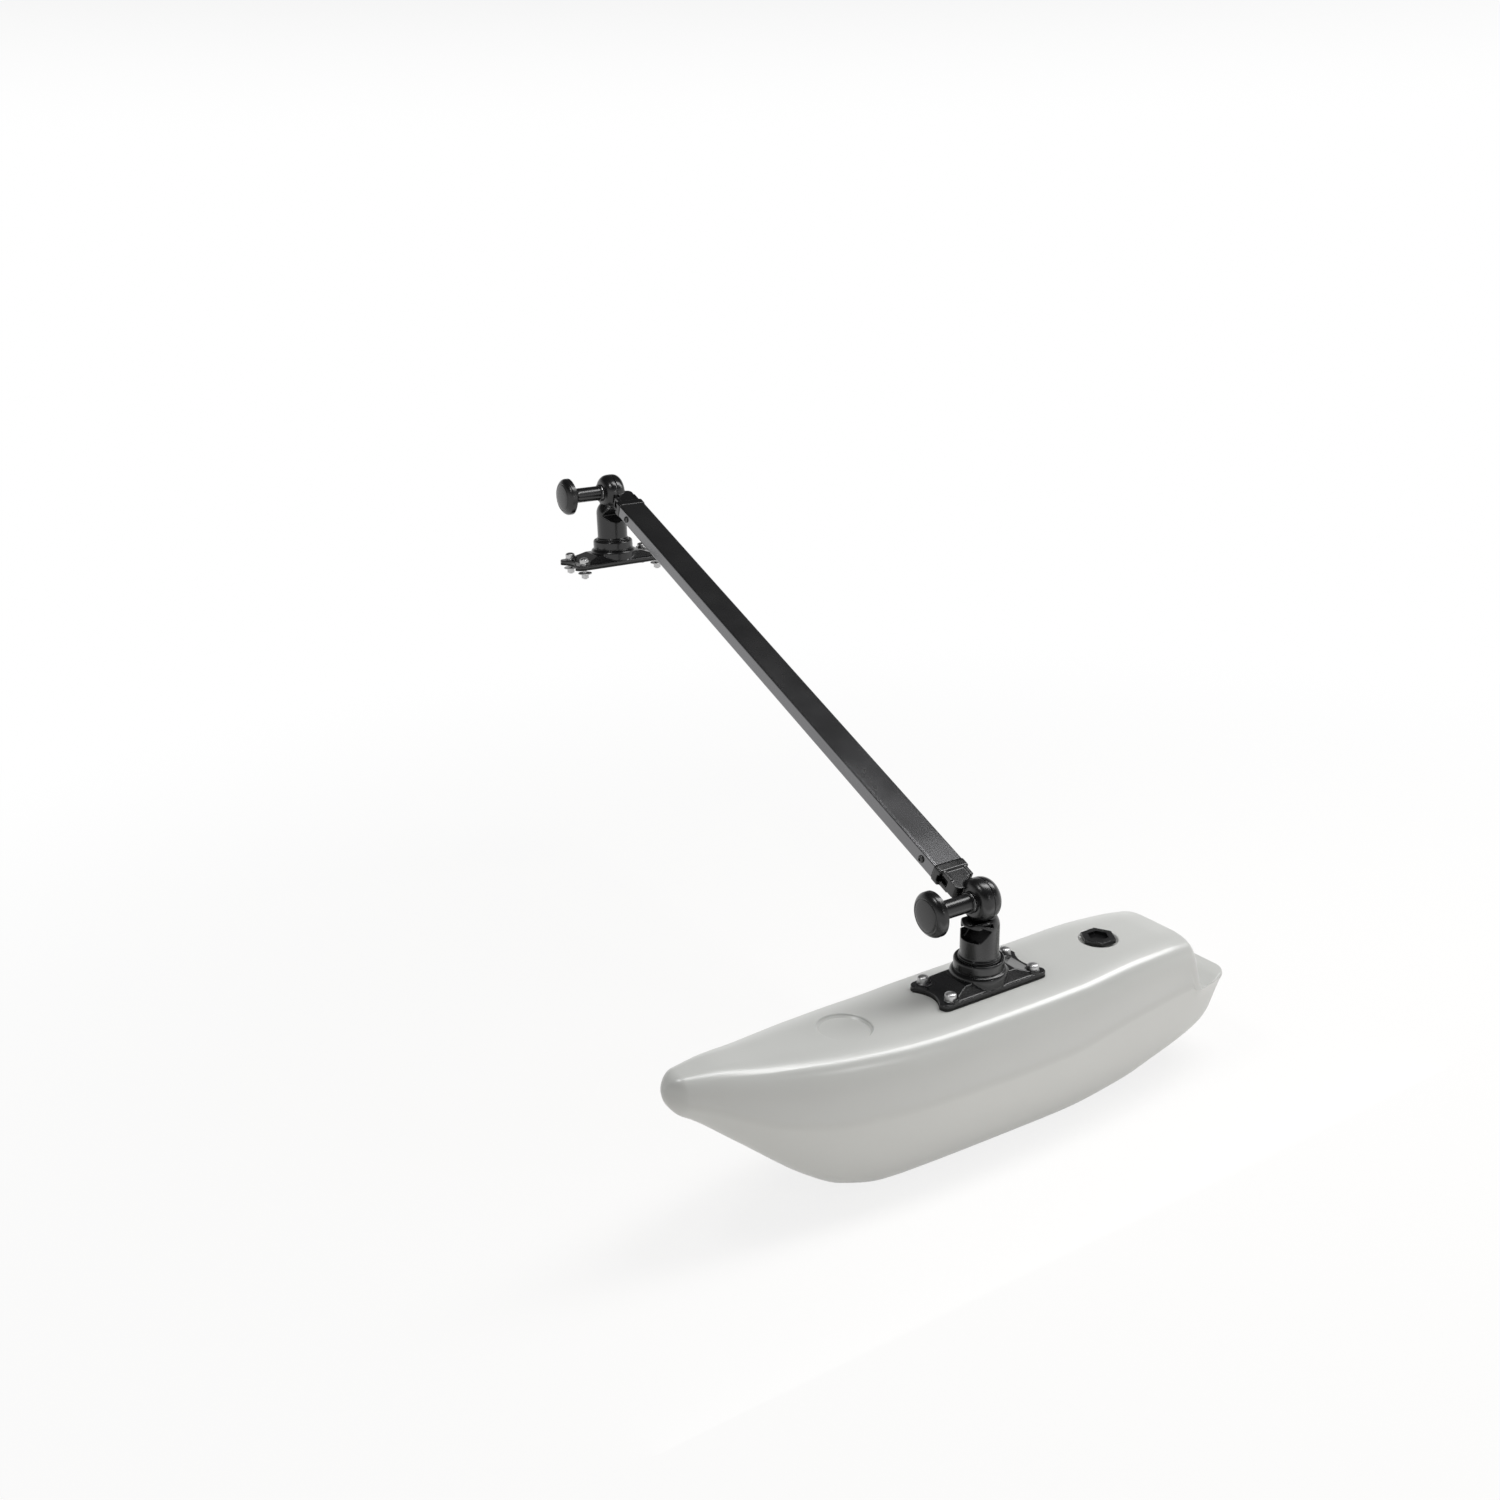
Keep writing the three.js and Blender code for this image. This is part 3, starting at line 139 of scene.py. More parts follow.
class FloatSettings(PropertyGroup):
    beam: size("Beam", "Greatest width of the float", 171)
    depth: size("Depth", "Depth that the lines of the float are shares of", 197)
    station_share: share("Base station", "Place of the base plate from the bow", 0.535)
    nose_radius: size("Nose radius", "Rounding of the bow tip", 19)
    shoulder_round: size("Shoulder round", "Reach of the curve between deck and side", 27)
    chine_round: size("Chine round", "Reach of the curve at the chine", 9)
    ledge_length: size("Ledge length", "Ledge behind the transom", 48)
    ledge_drop: size("Ledge drop", "Depth of the ledge under the deck", 69)
    lip_length: size("Lip length", "Length of the ledge's upturned end", 30)
    lip_height: size("Lip height", "Rise of the ledge's upturned end", 3)
    transom_rake: size("Transom rake", "How far the transom leans over its height", 20)
    transom_flat: size("Transom flat", "Straight part of the transom, seen from above", 62)
    blank_radius: size("Blank port radius", "Radius of the round recess ahead of the arm", 30)
    blank_depth: size("Blank port depth", "Depth of the blank recess", 4.5)
    drain_radius: size("Drain port radius", "Radius of the recess round the drain plug", 23)
    drain_depth: size("Drain port depth", "Depth of the drain recess", 5)


class BaseSettings(PropertyGroup):
    thickness: size("Plate thickness", "Thickness of the flat plate", 5)
    waist: size("Waist", "How deep the ends curve in", 9)
    lower_radius: size("Lower tier radius", "Radius of the hub's lower tier", 33)
    lower_top: size("Lower tier top", "Height of the hub's lower tier", 19)
    upper_radius: size("Upper tier radius", "Radius of the hub's upper tier", 29)
    upper_top: size("Upper tier top", "Height of the hub's upper tier", 32)
    saddle_length: size("Saddle length", "Length of the raised body under the hub", 126)
    saddle_height: size("Saddle height", "Height of the saddle over the plate", 9)
    rim_radius: size("Rim radius", "Inside of the raised rim round a bolt", 7.6)
    rim_width: size("Rim width", "Width of the bolt rims", 1.6)
    rim_height: size("Rim height", "Height of the bolt rims", 4)


class PostSettings(PropertyGroup):
    radius: size("Radius", "Radius of the column", 22)
    shoulder: size("Shoulder", "Where the dome springs below the hinge", 31)
    dome: size("Dome", "Height of the dome", 20)
    lap_clearance: size("Lap clearance", "Gap between the eye and the lap", 1)
    lap_drop: degrees("Lap drop", "Slope of the lap's open side", 35)
    pocket_foot: size("Pocket foot", "Bottom of the large pocket below the hinge", 45)
    pocket_point: size("Pocket point", "Point of the large pocket below the hinge", 31)
    pocket_top: size("Pocket top", "Top of the large pocket below the hinge", 21)
    nut_flats: size("Nut pocket", "Width across the flats of the nut pocket", 16.6)


class KnuckleSettings(PropertyGroup):
    radius: size("Barrel radius", "Radius of the knuckle", 25)
    width: size("Half width", "Width of each half of the knuckle", 16)
    fit: size("Fit", "Running clearance", 0.3)


class ArmSettings(PropertyGroup):
    tube_width: size("Tube width", "Width of the tube along the hinge", 40)
    tube_height: size("Tube height", "Height of the tube", 20)
    stem_length: size("Stem length", "From the eye to the collar", 18)
    collar_length: size("Collar length", "Length of the collar", 12)
    screw_inset: size("Screw inset", "Screw's place from the tube's end", 22)
    screw_head: size("Screw head radius", "Radius of the screw's head", 4.5)


class KnobSettings(PropertyGroup):
    radius: size("Knob radius", "Radius of the cap", 26)
    reach: size("Reach", "From the seam of the knuckle to the crown", 82)
    crown: size("Crown", "Depth of the cap's front", 12)
    rim: size("Rim", "Width of the cap's rim", 6)
    cone: size("Cone", "Depth of the flare behind the cap", 11)
    hub_radius: size("Hub radius", "Radius of the hub", 10.5)


class FastenerSettings(PropertyGroup):
    bolt_radius: size("Bolt radius", "Radius of the shank", 3)
    head_radius: size("Head radius", "Radius of the domed head", 6.8)
    head_height: size("Head height", "Height of the domed head", 8.5)
    washer_radius: size("Washer radius", "Radius of a washer", 7.2)
    washer: size("Washer thickness", "Thickness of a washer", 1.5)
    backing_radius: size("Backing washer radius", "Radius of a washer under the deck", 10)
    plug_flats: size("Plug flats", "Drain plug across its flats", 37)
    plug_socket: size("Plug socket", "Socket in the plug across its flats", 22)


class FinishSettings(PropertyGroup):
    float_colour: colour("Float", "Pale grey of the polyethylene float", (0.57, 0.575, 0.555))
    float_roughness: share("Float roughness", "Satin of the polyethylene", 0.31)
    nylon_colour: colour("Nylon", "Colour of the mouldings, a black nylon", (0.006, 0.006, 0.0065))
    nylon_roughness: share("Nylon roughness", "Gloss of the nylon", 0.25)
    nylon_shine: share("Nylon shine", "Strength of the nylon's reflections", 0.6)
    tube_colour: colour("Tube", "Colour of the dark anodised tube", (0.19, 0.19, 0.195))
    tube_roughness: share("Tube roughness", "Gloss of the tube", 0.26)
    screw_colour: colour("Tube screws", "Colour of the tube's blackened screws", (0.09, 0.09, 0.09))
    screw_roughness: share("Screw roughness", "Polish of the tube screws", 0.4)
    steel_colour: colour("Steel", "Colour of the bolts and washers", (0.5, 0.5, 0.5))
    steel_roughness: share("Steel roughness", "Polish of the steel", 0.36)
    brass_colour: colour("Brass", "Colour of the moulded-in inserts", (0.5, 0.36, 0.14))
    brass_roughness: share("Brass roughness", "Polish of the brass", 0.35)
    rubber_colour: colour("Rubber", "Colour of the pads, discs and seal", (0.012, 0.012, 0.012))
    rubber_roughness: share("Rubber roughness", "Dullness of the rubber", 0.75)


class StageSettings(PropertyGroup):
    azimuth: degrees("Azimuth", "Where the camera stands round the object", -31.61)
    elevation: degrees("Elevation", "How high the camera looks down", 19.49)
    roll: degrees("Roll", "Tilt of the picture", -1.4)
    focal_px: number("Focal length", "Focal length in pixels of a 1500 px picture", 1484.9)
    across: size("Across", "Shift of the lower base across the view", 257.94)
    upwards: size("Upwards", "Shift of the lower base up the view", -262.73)
    distance: size("Distance", "From the lower base to the camera's plane", 1678.38)
    floor_colour: colour("Floor", "Colour of the pale floor", (0.93, 0.91, 0.88))
    zenith: number("Zenith", "Strength of the even light from above", 0.34)
    horizon: number("Horizon", "Strength of that light from the sides", 0.04)
    overhead: number("Overhead", "Backdrop right above, where 1 is white", 0.06)
    key: number("Key", "Power of the long overhead softbox", 32)
    front: number("Front", "Power of the small softbox outboard", 1.5)
    bow: number("Bow", "Power of the small softbox at the bow", 6)
    low: number("Low", "Power of the strip on the floor", 0.3)


SETTINGS = {
    "hull": FloatSettings,
    "base": BaseSettings,
    "post": PostSettings,
    "knuckle": KnuckleSettings,
    "arm": ArmSettings,
    "knob": KnobSettings,
    "fastener": FastenerSettings,
    "finish": FinishSettings,
    "stage": StageSettings,
}


def settings(group):
    return getattr(bpy.context.scene, f"outrigger_{group}")


# Mesh helpers

ROUND = 96
SMALL_ROUND = 40
ARC = 8
WELD = 1e-6
OVERCUT = 1 * MM
SHARP = math.radians(32)


def linked(name, data):
    """New object in the scene."""
    obj = bpy.data.objects.new(name, data)
    bpy.context.scene.collection.objects.link(obj)
    return obj


def mesh_object(name, bm):
    """New object in the scene from a bmesh, which is used up."""
    mesh = bpy.data.meshes.new(name)
    bm.to_mesh(mesh)
    bm.free()
    return linked(name, mesh)


def quarter(r0, z0, r1, z1, steps=ARC):
    """Points of a quarter ellipse that leaves its first point along z."""
    turns = [i / steps * math.pi / 2 for i in range(steps + 1)]
    return [(r1 + (r0 - r1) * math.cos(t), z0 + (z1 - z0) * math.sin(t)) for t in turns]


def tidy(bm):
    bmesh.ops.remove_doubles(bm, verts=bm.verts, dist=WELD)
    bmesh.ops.recalc_face_normals(bm, faces=bm.faces)
    return bm


def spun(profile, segments=ROUND, closed=False):
    """Body of revolution about Z from (radius, height) points."""
    bm = bmesh.new()
    verts = [bm.verts.new((r, 0, z)) for r, z in profile]
    pairs = list(zip(verts, verts[1:])) + ([(verts[-1], verts[0])] if closed else [])
    edges = [bm.edges.new(pair) for pair in pairs]
    bmesh.ops.spin(bm, geom=verts + edges, cent=(0, 0, 0), axis=(0, 0, 1), dvec=(0, 0, 0),
                   angle=math.tau, steps=segments, use_merge=True, use_duplicate=False)
    return tidy(bm)


def rod(radius, low, high, segments=ROUND):
    return spun([(0, low), (radius, low), (radius, high), (0, high)], segments)


def ring(inner, outer, low, high, bevel=0.0, segments=SMALL_ROUND):
    profile = [(inner, low), (outer - bevel, low), (outer, low + bevel), (outer, high - bevel),
               (outer - bevel, high), (inner, high)]
    return spun(profile, segments, closed=True)


def bevelled(bm, edges, offset, segments):
    bmesh.ops.bevel(bm, geom=edges, offset=offset, offset_type="OFFSET", segments=segments,
                    profile=0.5, affect="EDGES", clamp_overlap=True, material=-1)
    return bm


def extruded(outline, low, high, bevel=0.0, steps=2):
    """Prism along Z from (x, y) points, with its end edges rounded."""
    bm = bmesh.new()
    floor = bm.faces.new([bm.verts.new((x, y, low)) for x, y in outline])
    result = bmesh.ops.extrude_face_region(bm, geom=[floor])
    lifted = [item for item in result["geom"] if isinstance(item, bmesh.types.BMVert)]
    bmesh.ops.translate(bm, vec=(0, 0, high - low), verts=lifted)
    tidy(bm)
    if bevel:
        ends = [e for e in bm.edges if abs(e.verts[0].co.z - e.verts[1].co.z) < WELD]
        bevelled(bm, ends, bevel, steps)
    return bm


def block(width, length, height):
    bm = bmesh.new()
    bmesh.ops.create_cube(bm, size=1, matrix=Matrix.Diagonal((width, length, height, 1)))
    return bm


def frustum(bottom, top, low, high):
    """Block whose foot and top have their own (length, width)."""
    bm = bmesh.new()
    bmesh.ops.create_cube(bm, size=1)
    for v in bm.verts:
        length, width = top if v.co.z > 0 else bottom
        v.co = (v.co.x * length, v.co.y * width, high if v.co.z > 0 else low)
    return bm


def rounded_block(width, length, height, corner):
    """Block along Y whose four long edges are rounded."""
    bm = block(width, length, height)
    long_edges = [e for e in bm.edges if abs(e.verts[0].co.y - e.verts[1].co.y) > length / 2]
    return bevelled(bm, long_edges, corner, ARC)


def hexagon(flats):
    radius = flats / math.sqrt(3)
    return [(radius * math.cos(i * math.pi / 3), radius * math.sin(i * math.pi / 3))
            for i in range(6)]


def moved(bm, *matrices):
    """The bmesh after the transforms, the first one first."""
    for matrix in matrices:
        bmesh.ops.transform(bm, matrix=matrix, verts=bm.verts)
    return bm


def shift(x=0.0, y=0.0, z=0.0):
    return Matrix.Translation((x, y, z))


def turn(angle, axis):
    return Matrix.Rotation(angle, 4, axis)


ALONG_X = turn(math.pi / 2, "Y")
HALF_TURN = turn(math.pi, "Z")


def evaluated(obj):
    """The bmesh of an object after its modifiers."""
    depsgraph = bpy.context.evaluated_depsgraph_get()
    mesh = bpy.data.meshes.new_from_object(obj.evaluated_get(depsgraph))
    bm = bmesh.new()
    bm.from_mesh(mesh)
    bpy.data.meshes.remove(mesh)
    return bm


def discard(obj):
    mesh = obj.data
    bpy.data.objects.remove(obj)
    bpy.data.meshes.remove(mesh)


def combined(body, adds=(), cuts=()):
    """One closed body: adds are joined to it and cuts are taken from it."""
    target = mesh_object("body", body)
    tools = []
    for operation, bodies in (("UNION", adds), ("DIFFERENCE", cuts)):
        for other in bodies:
            tool = mesh_object("tool", other)
            tools.append(tool)
            modifier = target.modifiers.new("join or cut", "BOOLEAN")
            modifier.solver = "MANIFOLD"
            modifier.operation = operation
            modifier.object = tool
    bm = evaluated(target)
    for obj in [target, *tools]:
        discard(obj)
    return tidy(bm)


def softened(bm, voxel, passes):
    """Moulded look: an even remesh whose edges and inner corners are then smoothed."""
    obj = mesh_object("body", bm)
    remesh = obj.modifiers.new("remesh", "REMESH")
    remesh.mode = "VOXEL"
    remesh.voxel_size = voxel
    smooth = obj.modifiers.new("smooth", "SMOOTH")
    smooth.iterations = passes
    result = evaluated(obj)
    discard(obj)
    return result


def piece(name, bm, finish, body, *nodes, soft=False):
    """Makes the object, gives it its finish, its body and the nodes that it stands for."""
    obj = mesh_object(name, bm)
    obj.data.shade_smooth()
    if not soft:
        obj.data.set_sharp_from_angle(angle=SHARP)
    obj.data.materials.append(bpy.data.materials[finish])
    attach(obj, body)
    if nodes:
        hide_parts(*nodes)
    return obj


def weighted(obj):
    """Flat faces keep their shading flat beside rounded ones."""
    modifier = obj.modifiers.new("weighted normals", "WEIGHTED_NORMAL")
    modifier.keep_sharp = True
    return obj


# Node groups and finishes

MIX_FIRST, MIX_SECOND, MIX_RESULT = 6, 7, 2


def fill(tree, socket, value):
    """Gives an input its value, or links it to the output that feeds it."""
    if isinstance(value, bpy.types.NodeSocket):
        tree.links.new(value, socket)
    else:
        socket.default_value = value


def node(tree, kind, inputs=None, **properties):
    made = tree.nodes.new(kind)
    for name, value in properties.items():
        setattr(made, name, value)
    for key, value in (inputs or {}).items():
        fill(tree, made.inputs[key], value)
    return made


def node_group(name, inputs, outputs):
    """Group with float sockets: its tree, what it is given and what it puts out."""
    tree = bpy.data.node_groups.new(name, "ShaderNodeTree")
    for way, sockets in (("INPUT", inputs), ("OUTPUT", outputs)):
        for socket in sockets:
            tree.interface.new_socket(socket, in_out=way, socket_type="NodeSocketFloat")
    given = tree.nodes.new("NodeGroupInput").outputs
    return tree, given, tree.nodes.new("NodeGroupOutput").inputs


def grain_group():
    """Fine grain and broad cloudy tone that every moulded or coated surface shares."""
    tree, given, result = node_group("Moulded grain", ("Grain scale", "Cloud scale"),
                                     ("Height", "Cloud"))
    place = node(tree, "ShaderNodeTexCoord").outputs["Object"]
    for name, scale, detail, roughness in (("Height", "Grain scale", 3, 0.6),
                                           ("Cloud", "Cloud scale", 4, 0.55)):
        noise = node(tree, "ShaderNodeTexNoise", {
            "Vector": place, "Scale": given[scale], "Detail": detail, "Roughness": roughness})
        tree.links.new(noise.outputs["Fac"], result[name])


def wear_group():
    """Thin pale scuffs that run along a surface, as a mask."""
    tree, given, result = node_group("Scuffs", ("Amount",), ("Mask",))
    place = node(tree, "ShaderNodeTexCoord").outputs["Object"]
    stretch = node(tree, "ShaderNodeMapping", {
        "Vector": place, "Scale": (0.35, 2.2, 2.2), "Rotation": (0.3, 0.2, 0.5)})
    lines = node(tree, "ShaderNodeTexNoise", {
        "Vector": stretch.outputs["Vector"], "Scale": 30, "Detail": 6, "Roughness": 0.75})
    patches = node(tree, "ShaderNodeTexNoise", {"Vector": place, "Scale": 7, "Detail": 2})
    mask = given["Amount"]
    for noise, low, high in ((lines, 0.62, 0.72), (patches, 0.5, 0.68)):
        sharpened = node(tree, "ShaderNodeMapRange", {
            "Value": noise.outputs["Fac"], "From Min": low, "From Max": high})
        both = node(tree, "ShaderNodeMath", {0: sharpened.outputs["Result"], 1: mask},
                    operation="MULTIPLY")
        mask = both.outputs["Value"]
    tree.links.new(mask, result["Mask"])


def finish(name, base, roughness, metallic=0.0, grain=900.0, cloud=9.0, tone=0.1, spread=0.08,
           bump=0.1, depth=0.00008, shine=0.5, scuff=0.0, scuff_colour=None):
    """Gives the material of that name grain, cloudy tone, uneven gloss and scuffs."""
    material = bpy.data.materials.get(name) or bpy.data.materials.new(name)
    material.use_nodes = True
    tree = material.node_tree
    groups = bpy.data.node_groups
    surface = node(tree, "ShaderNodeGroup", {"Grain scale": grain, "Cloud scale": cloud},
                   node_tree=groups["Moulded grain"]).outputs
    darker, lighter = [[min(1, c * (1 + change)) for c in base] + [1] for change in (-tone, tone)]
    shade = node(tree, "ShaderNodeMix", {
        "Factor": surface["Cloud"], MIX_FIRST: darker, MIX_SECOND: lighter}, data_type="RGBA")
    if scuff:
        wear = node(tree, "ShaderNodeGroup", {"Amount": scuff}, node_tree=groups["Scuffs"])
        shade = node(tree, "ShaderNodeMix", {
            "Factor": wear.outputs["Mask"], MIX_FIRST: shade.outputs[MIX_RESULT],
            MIX_SECOND: [*scuff_colour, 1]}, data_type="RGBA")
    gloss = node(tree, "ShaderNodeMapRange", {
        "Value": surface["Cloud"], "From Min": 0.3, "From Max": 0.7,
        "To Min": roughness - spread, "To Max": roughness + spread})
    relief = node(tree, "ShaderNodeBump", {
        "Height": surface["Height"], "Strength": bump, "Distance": depth})
    shader = tree.nodes["Principled BSDF"].inputs
    for key, value in (("Metallic", metallic), ("Specular IOR Level", shine),
                       ("Base Color", shade.outputs[MIX_RESULT]),
                       ("Roughness", gloss.outputs["Result"]),
                       ("Normal", relief.outputs["Normal"])):
        fill(tree, shader[key], value)


class OUTRIGGER_OT_finishes(Operator):
    """Make the materials of the outrigger"""
    bl_idname = "outrigger.finishes"
    bl_label = "Finishes"

    def execute(self, context):
        s = settings("finish")
        grain_group()
        wear_group()
        finish("float_polyethylene", s.float_colour, s.float_roughness, grain=420, cloud=5,
               tone=0.03, spread=0.03, bump=0.05, depth=0.00003, shine=1)
        finish("black_nylon", s.nylon_colour, s.nylon_roughness, grain=1500, cloud=25, tone=0.25,
               spread=0.05, bump=0.04, depth=0.00001, shine=s.nylon_shine, scuff=0.06,
               scuff_colour=(0.05, 0.05, 0.05))
        finish("black_anodised_tube", s.tube_colour, s.tube_roughness, metallic=1, grain=1800,
               cloud=12, tone=0.1, spread=0.03, bump=0.02, depth=0.000003, scuff=0.04,
               scuff_colour=(0.22, 0.22, 0.22))
        finish("blackened_screw", s.screw_colour, s.screw_roughness, metallic=1, cloud=60)
        finish("stainless_steel", s.steel_colour, s.steel_roughness, metallic=1, grain=2500,
               cloud=60, tone=0.06, spread=0.06, bump=0.06, depth=0.00003)
        finish("brass", s.brass_colour, s.brass_roughness, metallic=1, cloud=60)
        finish("black_rubber", s.rubber_colour, s.rubber_roughness, grain=2200, cloud=40,
               tone=0.3, bump=0.3)
        return {"FINISHED"}


# Float

# Reach of the curves that round a cross-section, and fall of the deck to its edge
DECK_ROUND = 34 * MM
BILGE_ROUND = 20 * MM
SHOULDER_DROP = 11 * MM
# Reach of the transom's corners, the half breadth where they end, and its upper and lower rounding
TRANSOM_CORNER = 22 * MM
TRANSOM_SIDE = 69 * MM
TRANSOM_EDGE = 20 * MM
TRANSOM_FOOT = 14 * MM
STERN_ROUND = 14 * MM
PORT_LIP = 2.2 * MM

# Shares of the length from the bow, then of the depth or of half the beam
SHEER_SHARES = (
    (0, 0.094), (0.06, 0.094), (0.14, 0.062), (0.29, 0.02), (0.41, 0), (0.66, 0), (0.78, 0.016),
    (0.86, 0.004), (0.92, -0.024), (1, -0.06),
)
KEEL_SHARES = (
    (0, -0.1), (0.03, -0.165), (0.098, -0.385), (0.2, -0.715), (0.25, -0.83), (0.32, -0.897),
    (0.535, -0.922), (0.66, -0.93), (0.78, -0.903), (0.867, -0.845), (0.93, -0.79), (0.97, -0.74),
    (1, -0.64),
)
CHINE_SHARES = (
    (0, -0.02), (0.05, -0.085), (0.098, -0.172), (0.155, -0.262), (0.24, -0.325), (0.35, -0.352),
    (0.444, -0.357), (0.61, -0.365), (0.7, -0.33), (0.76, -0.302), (0.88, -0.288), (0.94, -0.305),
    (1, -0.33),
)
CHINE_WIDTH_SHARES = (
    (0, 0.2), (0.03, 0.3), (0.098, 0.5), (0.155, 0.65), (0.24, 0.81), (0.35, 0.93), (0.45, 0.985),
    (0.56, 1), (0.66, 0.99), (0.78, 0.935), (0.867, 0.86), (0.93, 0.79), (1, 0.64),
)
SHOULDER_WIDTH_SHARES = (
    (0, 0.19), (0.03, 0.28), (0.098, 0.44), (0.155, 0.565), (0.24, 0.725), (0.35, 0.845),
    (0.45, 0.9), (0.56, 0.915), (0.66, 0.905), (0.78, 0.85), (0.867, 0.79), (0.93, 0.73), (1, 0.55),
)
BILGE_WIDTH_SHARES = (
    (0, 0.09), (0.03, 0.13), (0.098, 0.22), (0.2, 0.4), (0.28, 0.5), (0.36, 0.55), (0.535, 0.56),
    (0.66, 0.56), (0.78, 0.53), (0.867, 0.49), (0.93, 0.46), (1, 0.4),
)
DECK_FLAT_SHARE = 0.58
EDGE_SHARE = 0.46
CURVE_STEPS = 8
GAP_STEPS = 6
NOSE_STEPS = 14
STERN_STEPS = 8
RING_GAP = 7 * MM
TRANSOM_RING_GAP = 1.5 * MM


def through(pairs, at):
    """Smooth value through (place, value) pairs that never overshoots them."""
    last = len(pairs) - 1
    place = min(max(at, pairs[0][0]), pairs[last][0])
    k = 0
    while k < last - 1 and place > pairs[k + 1][0]:
        k += 1

    def rise(i):
        return (pairs[i + 1][1] - pairs[i][1]) / (pairs[i + 1][0] - pairs[i][0])

    def slope(i):
        if i == 0:
            return rise(0)
        if i == last:
            return rise(last - 1)
        before, after = rise(i - 1), rise(i)
        return 0 if before * after <= 0 else 2 * before * after / (before + after)

    width = pairs[k + 1][0] - pairs[k][0]
    t = (place - pairs[k][0]) / width
    u, v = t * t, t * t * t
    return ((2 * v - 3 * u + 1) * pairs[k][1] + (v - 2 * u + t) * width * slope(k)
            + (3 * u - 2 * v) * pairs[k + 1][1] + (v - u) * width * slope(k + 1))


def deck_height(s, x):
    """Height of the middle of the deck at a distance from the base plate's centre."""
    return through(SHEER_SHARES, s.station_share + x / FLOAT_LENGTH) * s.depth


def rounding(before, corner, after, reach, steps):
    """Quadratic curve that rounds one corner of an outline."""
    ends = []
    for end in (before, after):
        edge = end - corner
        ends.append(corner + edge.normalized() * min(reach, edge.length * EDGE_SHARE))
    points = []
    for i in range(steps + 1):
        t = i / steps
        points.append(ends[0] * (1 - t) ** 2 + corner * 2 * t * (1 - t) + ends[1] * t ** 2)
    return points


def half_section(s, at):
    """One side of a cross-section, from the middle of the deck to the middle of the keel."""
    half = s.beam / 2
    deck = through(SHEER_SHARES, at) * s.depth
    chine_height = through(CHINE_SHARES, at) * s.depth
    keel_height = through(KEEL_SHARES, at) * s.depth
    shoulder_width = through(SHOULDER_WIDTH_SHARES, at) * half
    drop = min(SHOULDER_DROP, (deck - chine_height) * DECK_FLAT_SHARE)
    shoulder = Vector((shoulder_width, deck - drop))
    corners = [
        Vector((0, deck)),
        Vector((shoulder_width * DECK_FLAT_SHARE, deck)),
        shoulder,
        Vector((through(CHINE_WIDTH_SHARES, at) * half, min(chine_height, shoulder.y - drop))),
        Vector((through(BILGE_WIDTH_SHARES, at) * half, keel_height)),
        Vector((0, keel_height)),
    ]
    reaches = (DECK_ROUND, s.shoulder_round, s.chine_round, BILGE_ROUND)
    points = [corners[0]]
    for before, corner, after, reach in zip(corners, corners[1:], corners[2:], reaches):
        curve = rounding(before, corner, after, reach, CURVE_STEPS)
        points += [points[-1].lerp(curve[0], i / GAP_STEPS) for i in range(1, GAP_STEPS)] + curve
    return points + [points[-1].lerp(corners[-1], i / GAP_STEPS) for i in range(1, GAP_STEPS + 1)]


def lower_of(a, b, reach):
    """The lower of two heights, with a smooth change from one to the other."""
    t = min(max(0.5 + 0.5 * (b - a) / reach, 0), 1)
    return b + (a - b) * t - reach * t * (1 - t)


def transom_and_ledge(s, x, y):
    """Height of the cut behind the deck at x from the bow and y from the middle."""
    across = min(max(abs(y), s.transom_flat / 2), TRANSOM_SIDE)
    t = math.sqrt((TRANSOM_SIDE - across) / (TRANSOM_SIDE - s.transom_flat / 2))
    foot = FLOAT_LENGTH - s.ledge_length - TRANSOM_CORNER * (1 - t) ** 2
    transom = (foot - x) * s.ledge_drop / s.transom_rake - s.ledge_drop
    rise = min(max(2 * (x - FLOAT_LENGTH + s.lip_length) / s.lip_length, 0), 1)
    ledge = s.lip_height * rise ** 2 * (3 - 2 * rise) - s.ledge_drop
    return -lower_of(-transom, -ledge, TRANSOM_FOOT)


def hull_ring(s, x, scale):
    """Closed ring of points round the hull at x from the bow, drawn in by a scale."""
    side = half_section(s, x / FLOAT_LENGTH)
    middle = (side[0].y + side[-1].y) / 2
    points = []
    for sign, half in ((1, side), (-1, side[-2:0:-1])):
        for p in half:
            y, z = p.x * scale, middle + (p.y - middle) * scale
            z = lower_of(z, transom_and_ledge(s, x, y), TRANSOM_EDGE)
            points.append((x, sign * y, z))
    return points


def steps_between(low, high, gap):
    count = math.ceil((high - low) / gap)
    return [low + (high - low) * i / count for i in range(count)]


def hull_rings(s):
    quarter_turn = math.pi / 2
    rings = []
    for i in range(1, NOSE_STEPS):
        angle = quarter_turn * i / NOSE_STEPS
        rings.append(hull_ring(s, s.nose_radius * (1 - math.cos(angle)), math.sin(angle)))
    stern = FLOAT_LENGTH - STERN_ROUND
    foot = FLOAT_LENGTH - s.ledge_length + TRANSOM_FOOT
    top = foot - TRANSOM_CORNER - s.transom_rake - TRANSOM_FOOT - TRANSOM_EDGE
    for x in (steps_between(s.nose_radius, top, RING_GAP)
              + steps_between(top, foot, TRANSOM_RING_GAP)
              + steps_between(foot, stern, RING_GAP / 2)):
        rings.append(hull_ring(s, x, 1))
    half = s.beam / 2 * through(CHINE_WIDTH_SHARES, 1)
    for i in range(STERN_STEPS + 1):
        angle = quarter_turn * i / STERN_STEPS
        x = FLOAT_LENGTH - STERN_ROUND * (1 - math.sin(angle))
        rings.append(hull_ring(s, x, 1 - STERN_ROUND / half * (1 - math.cos(angle))))
    return rings


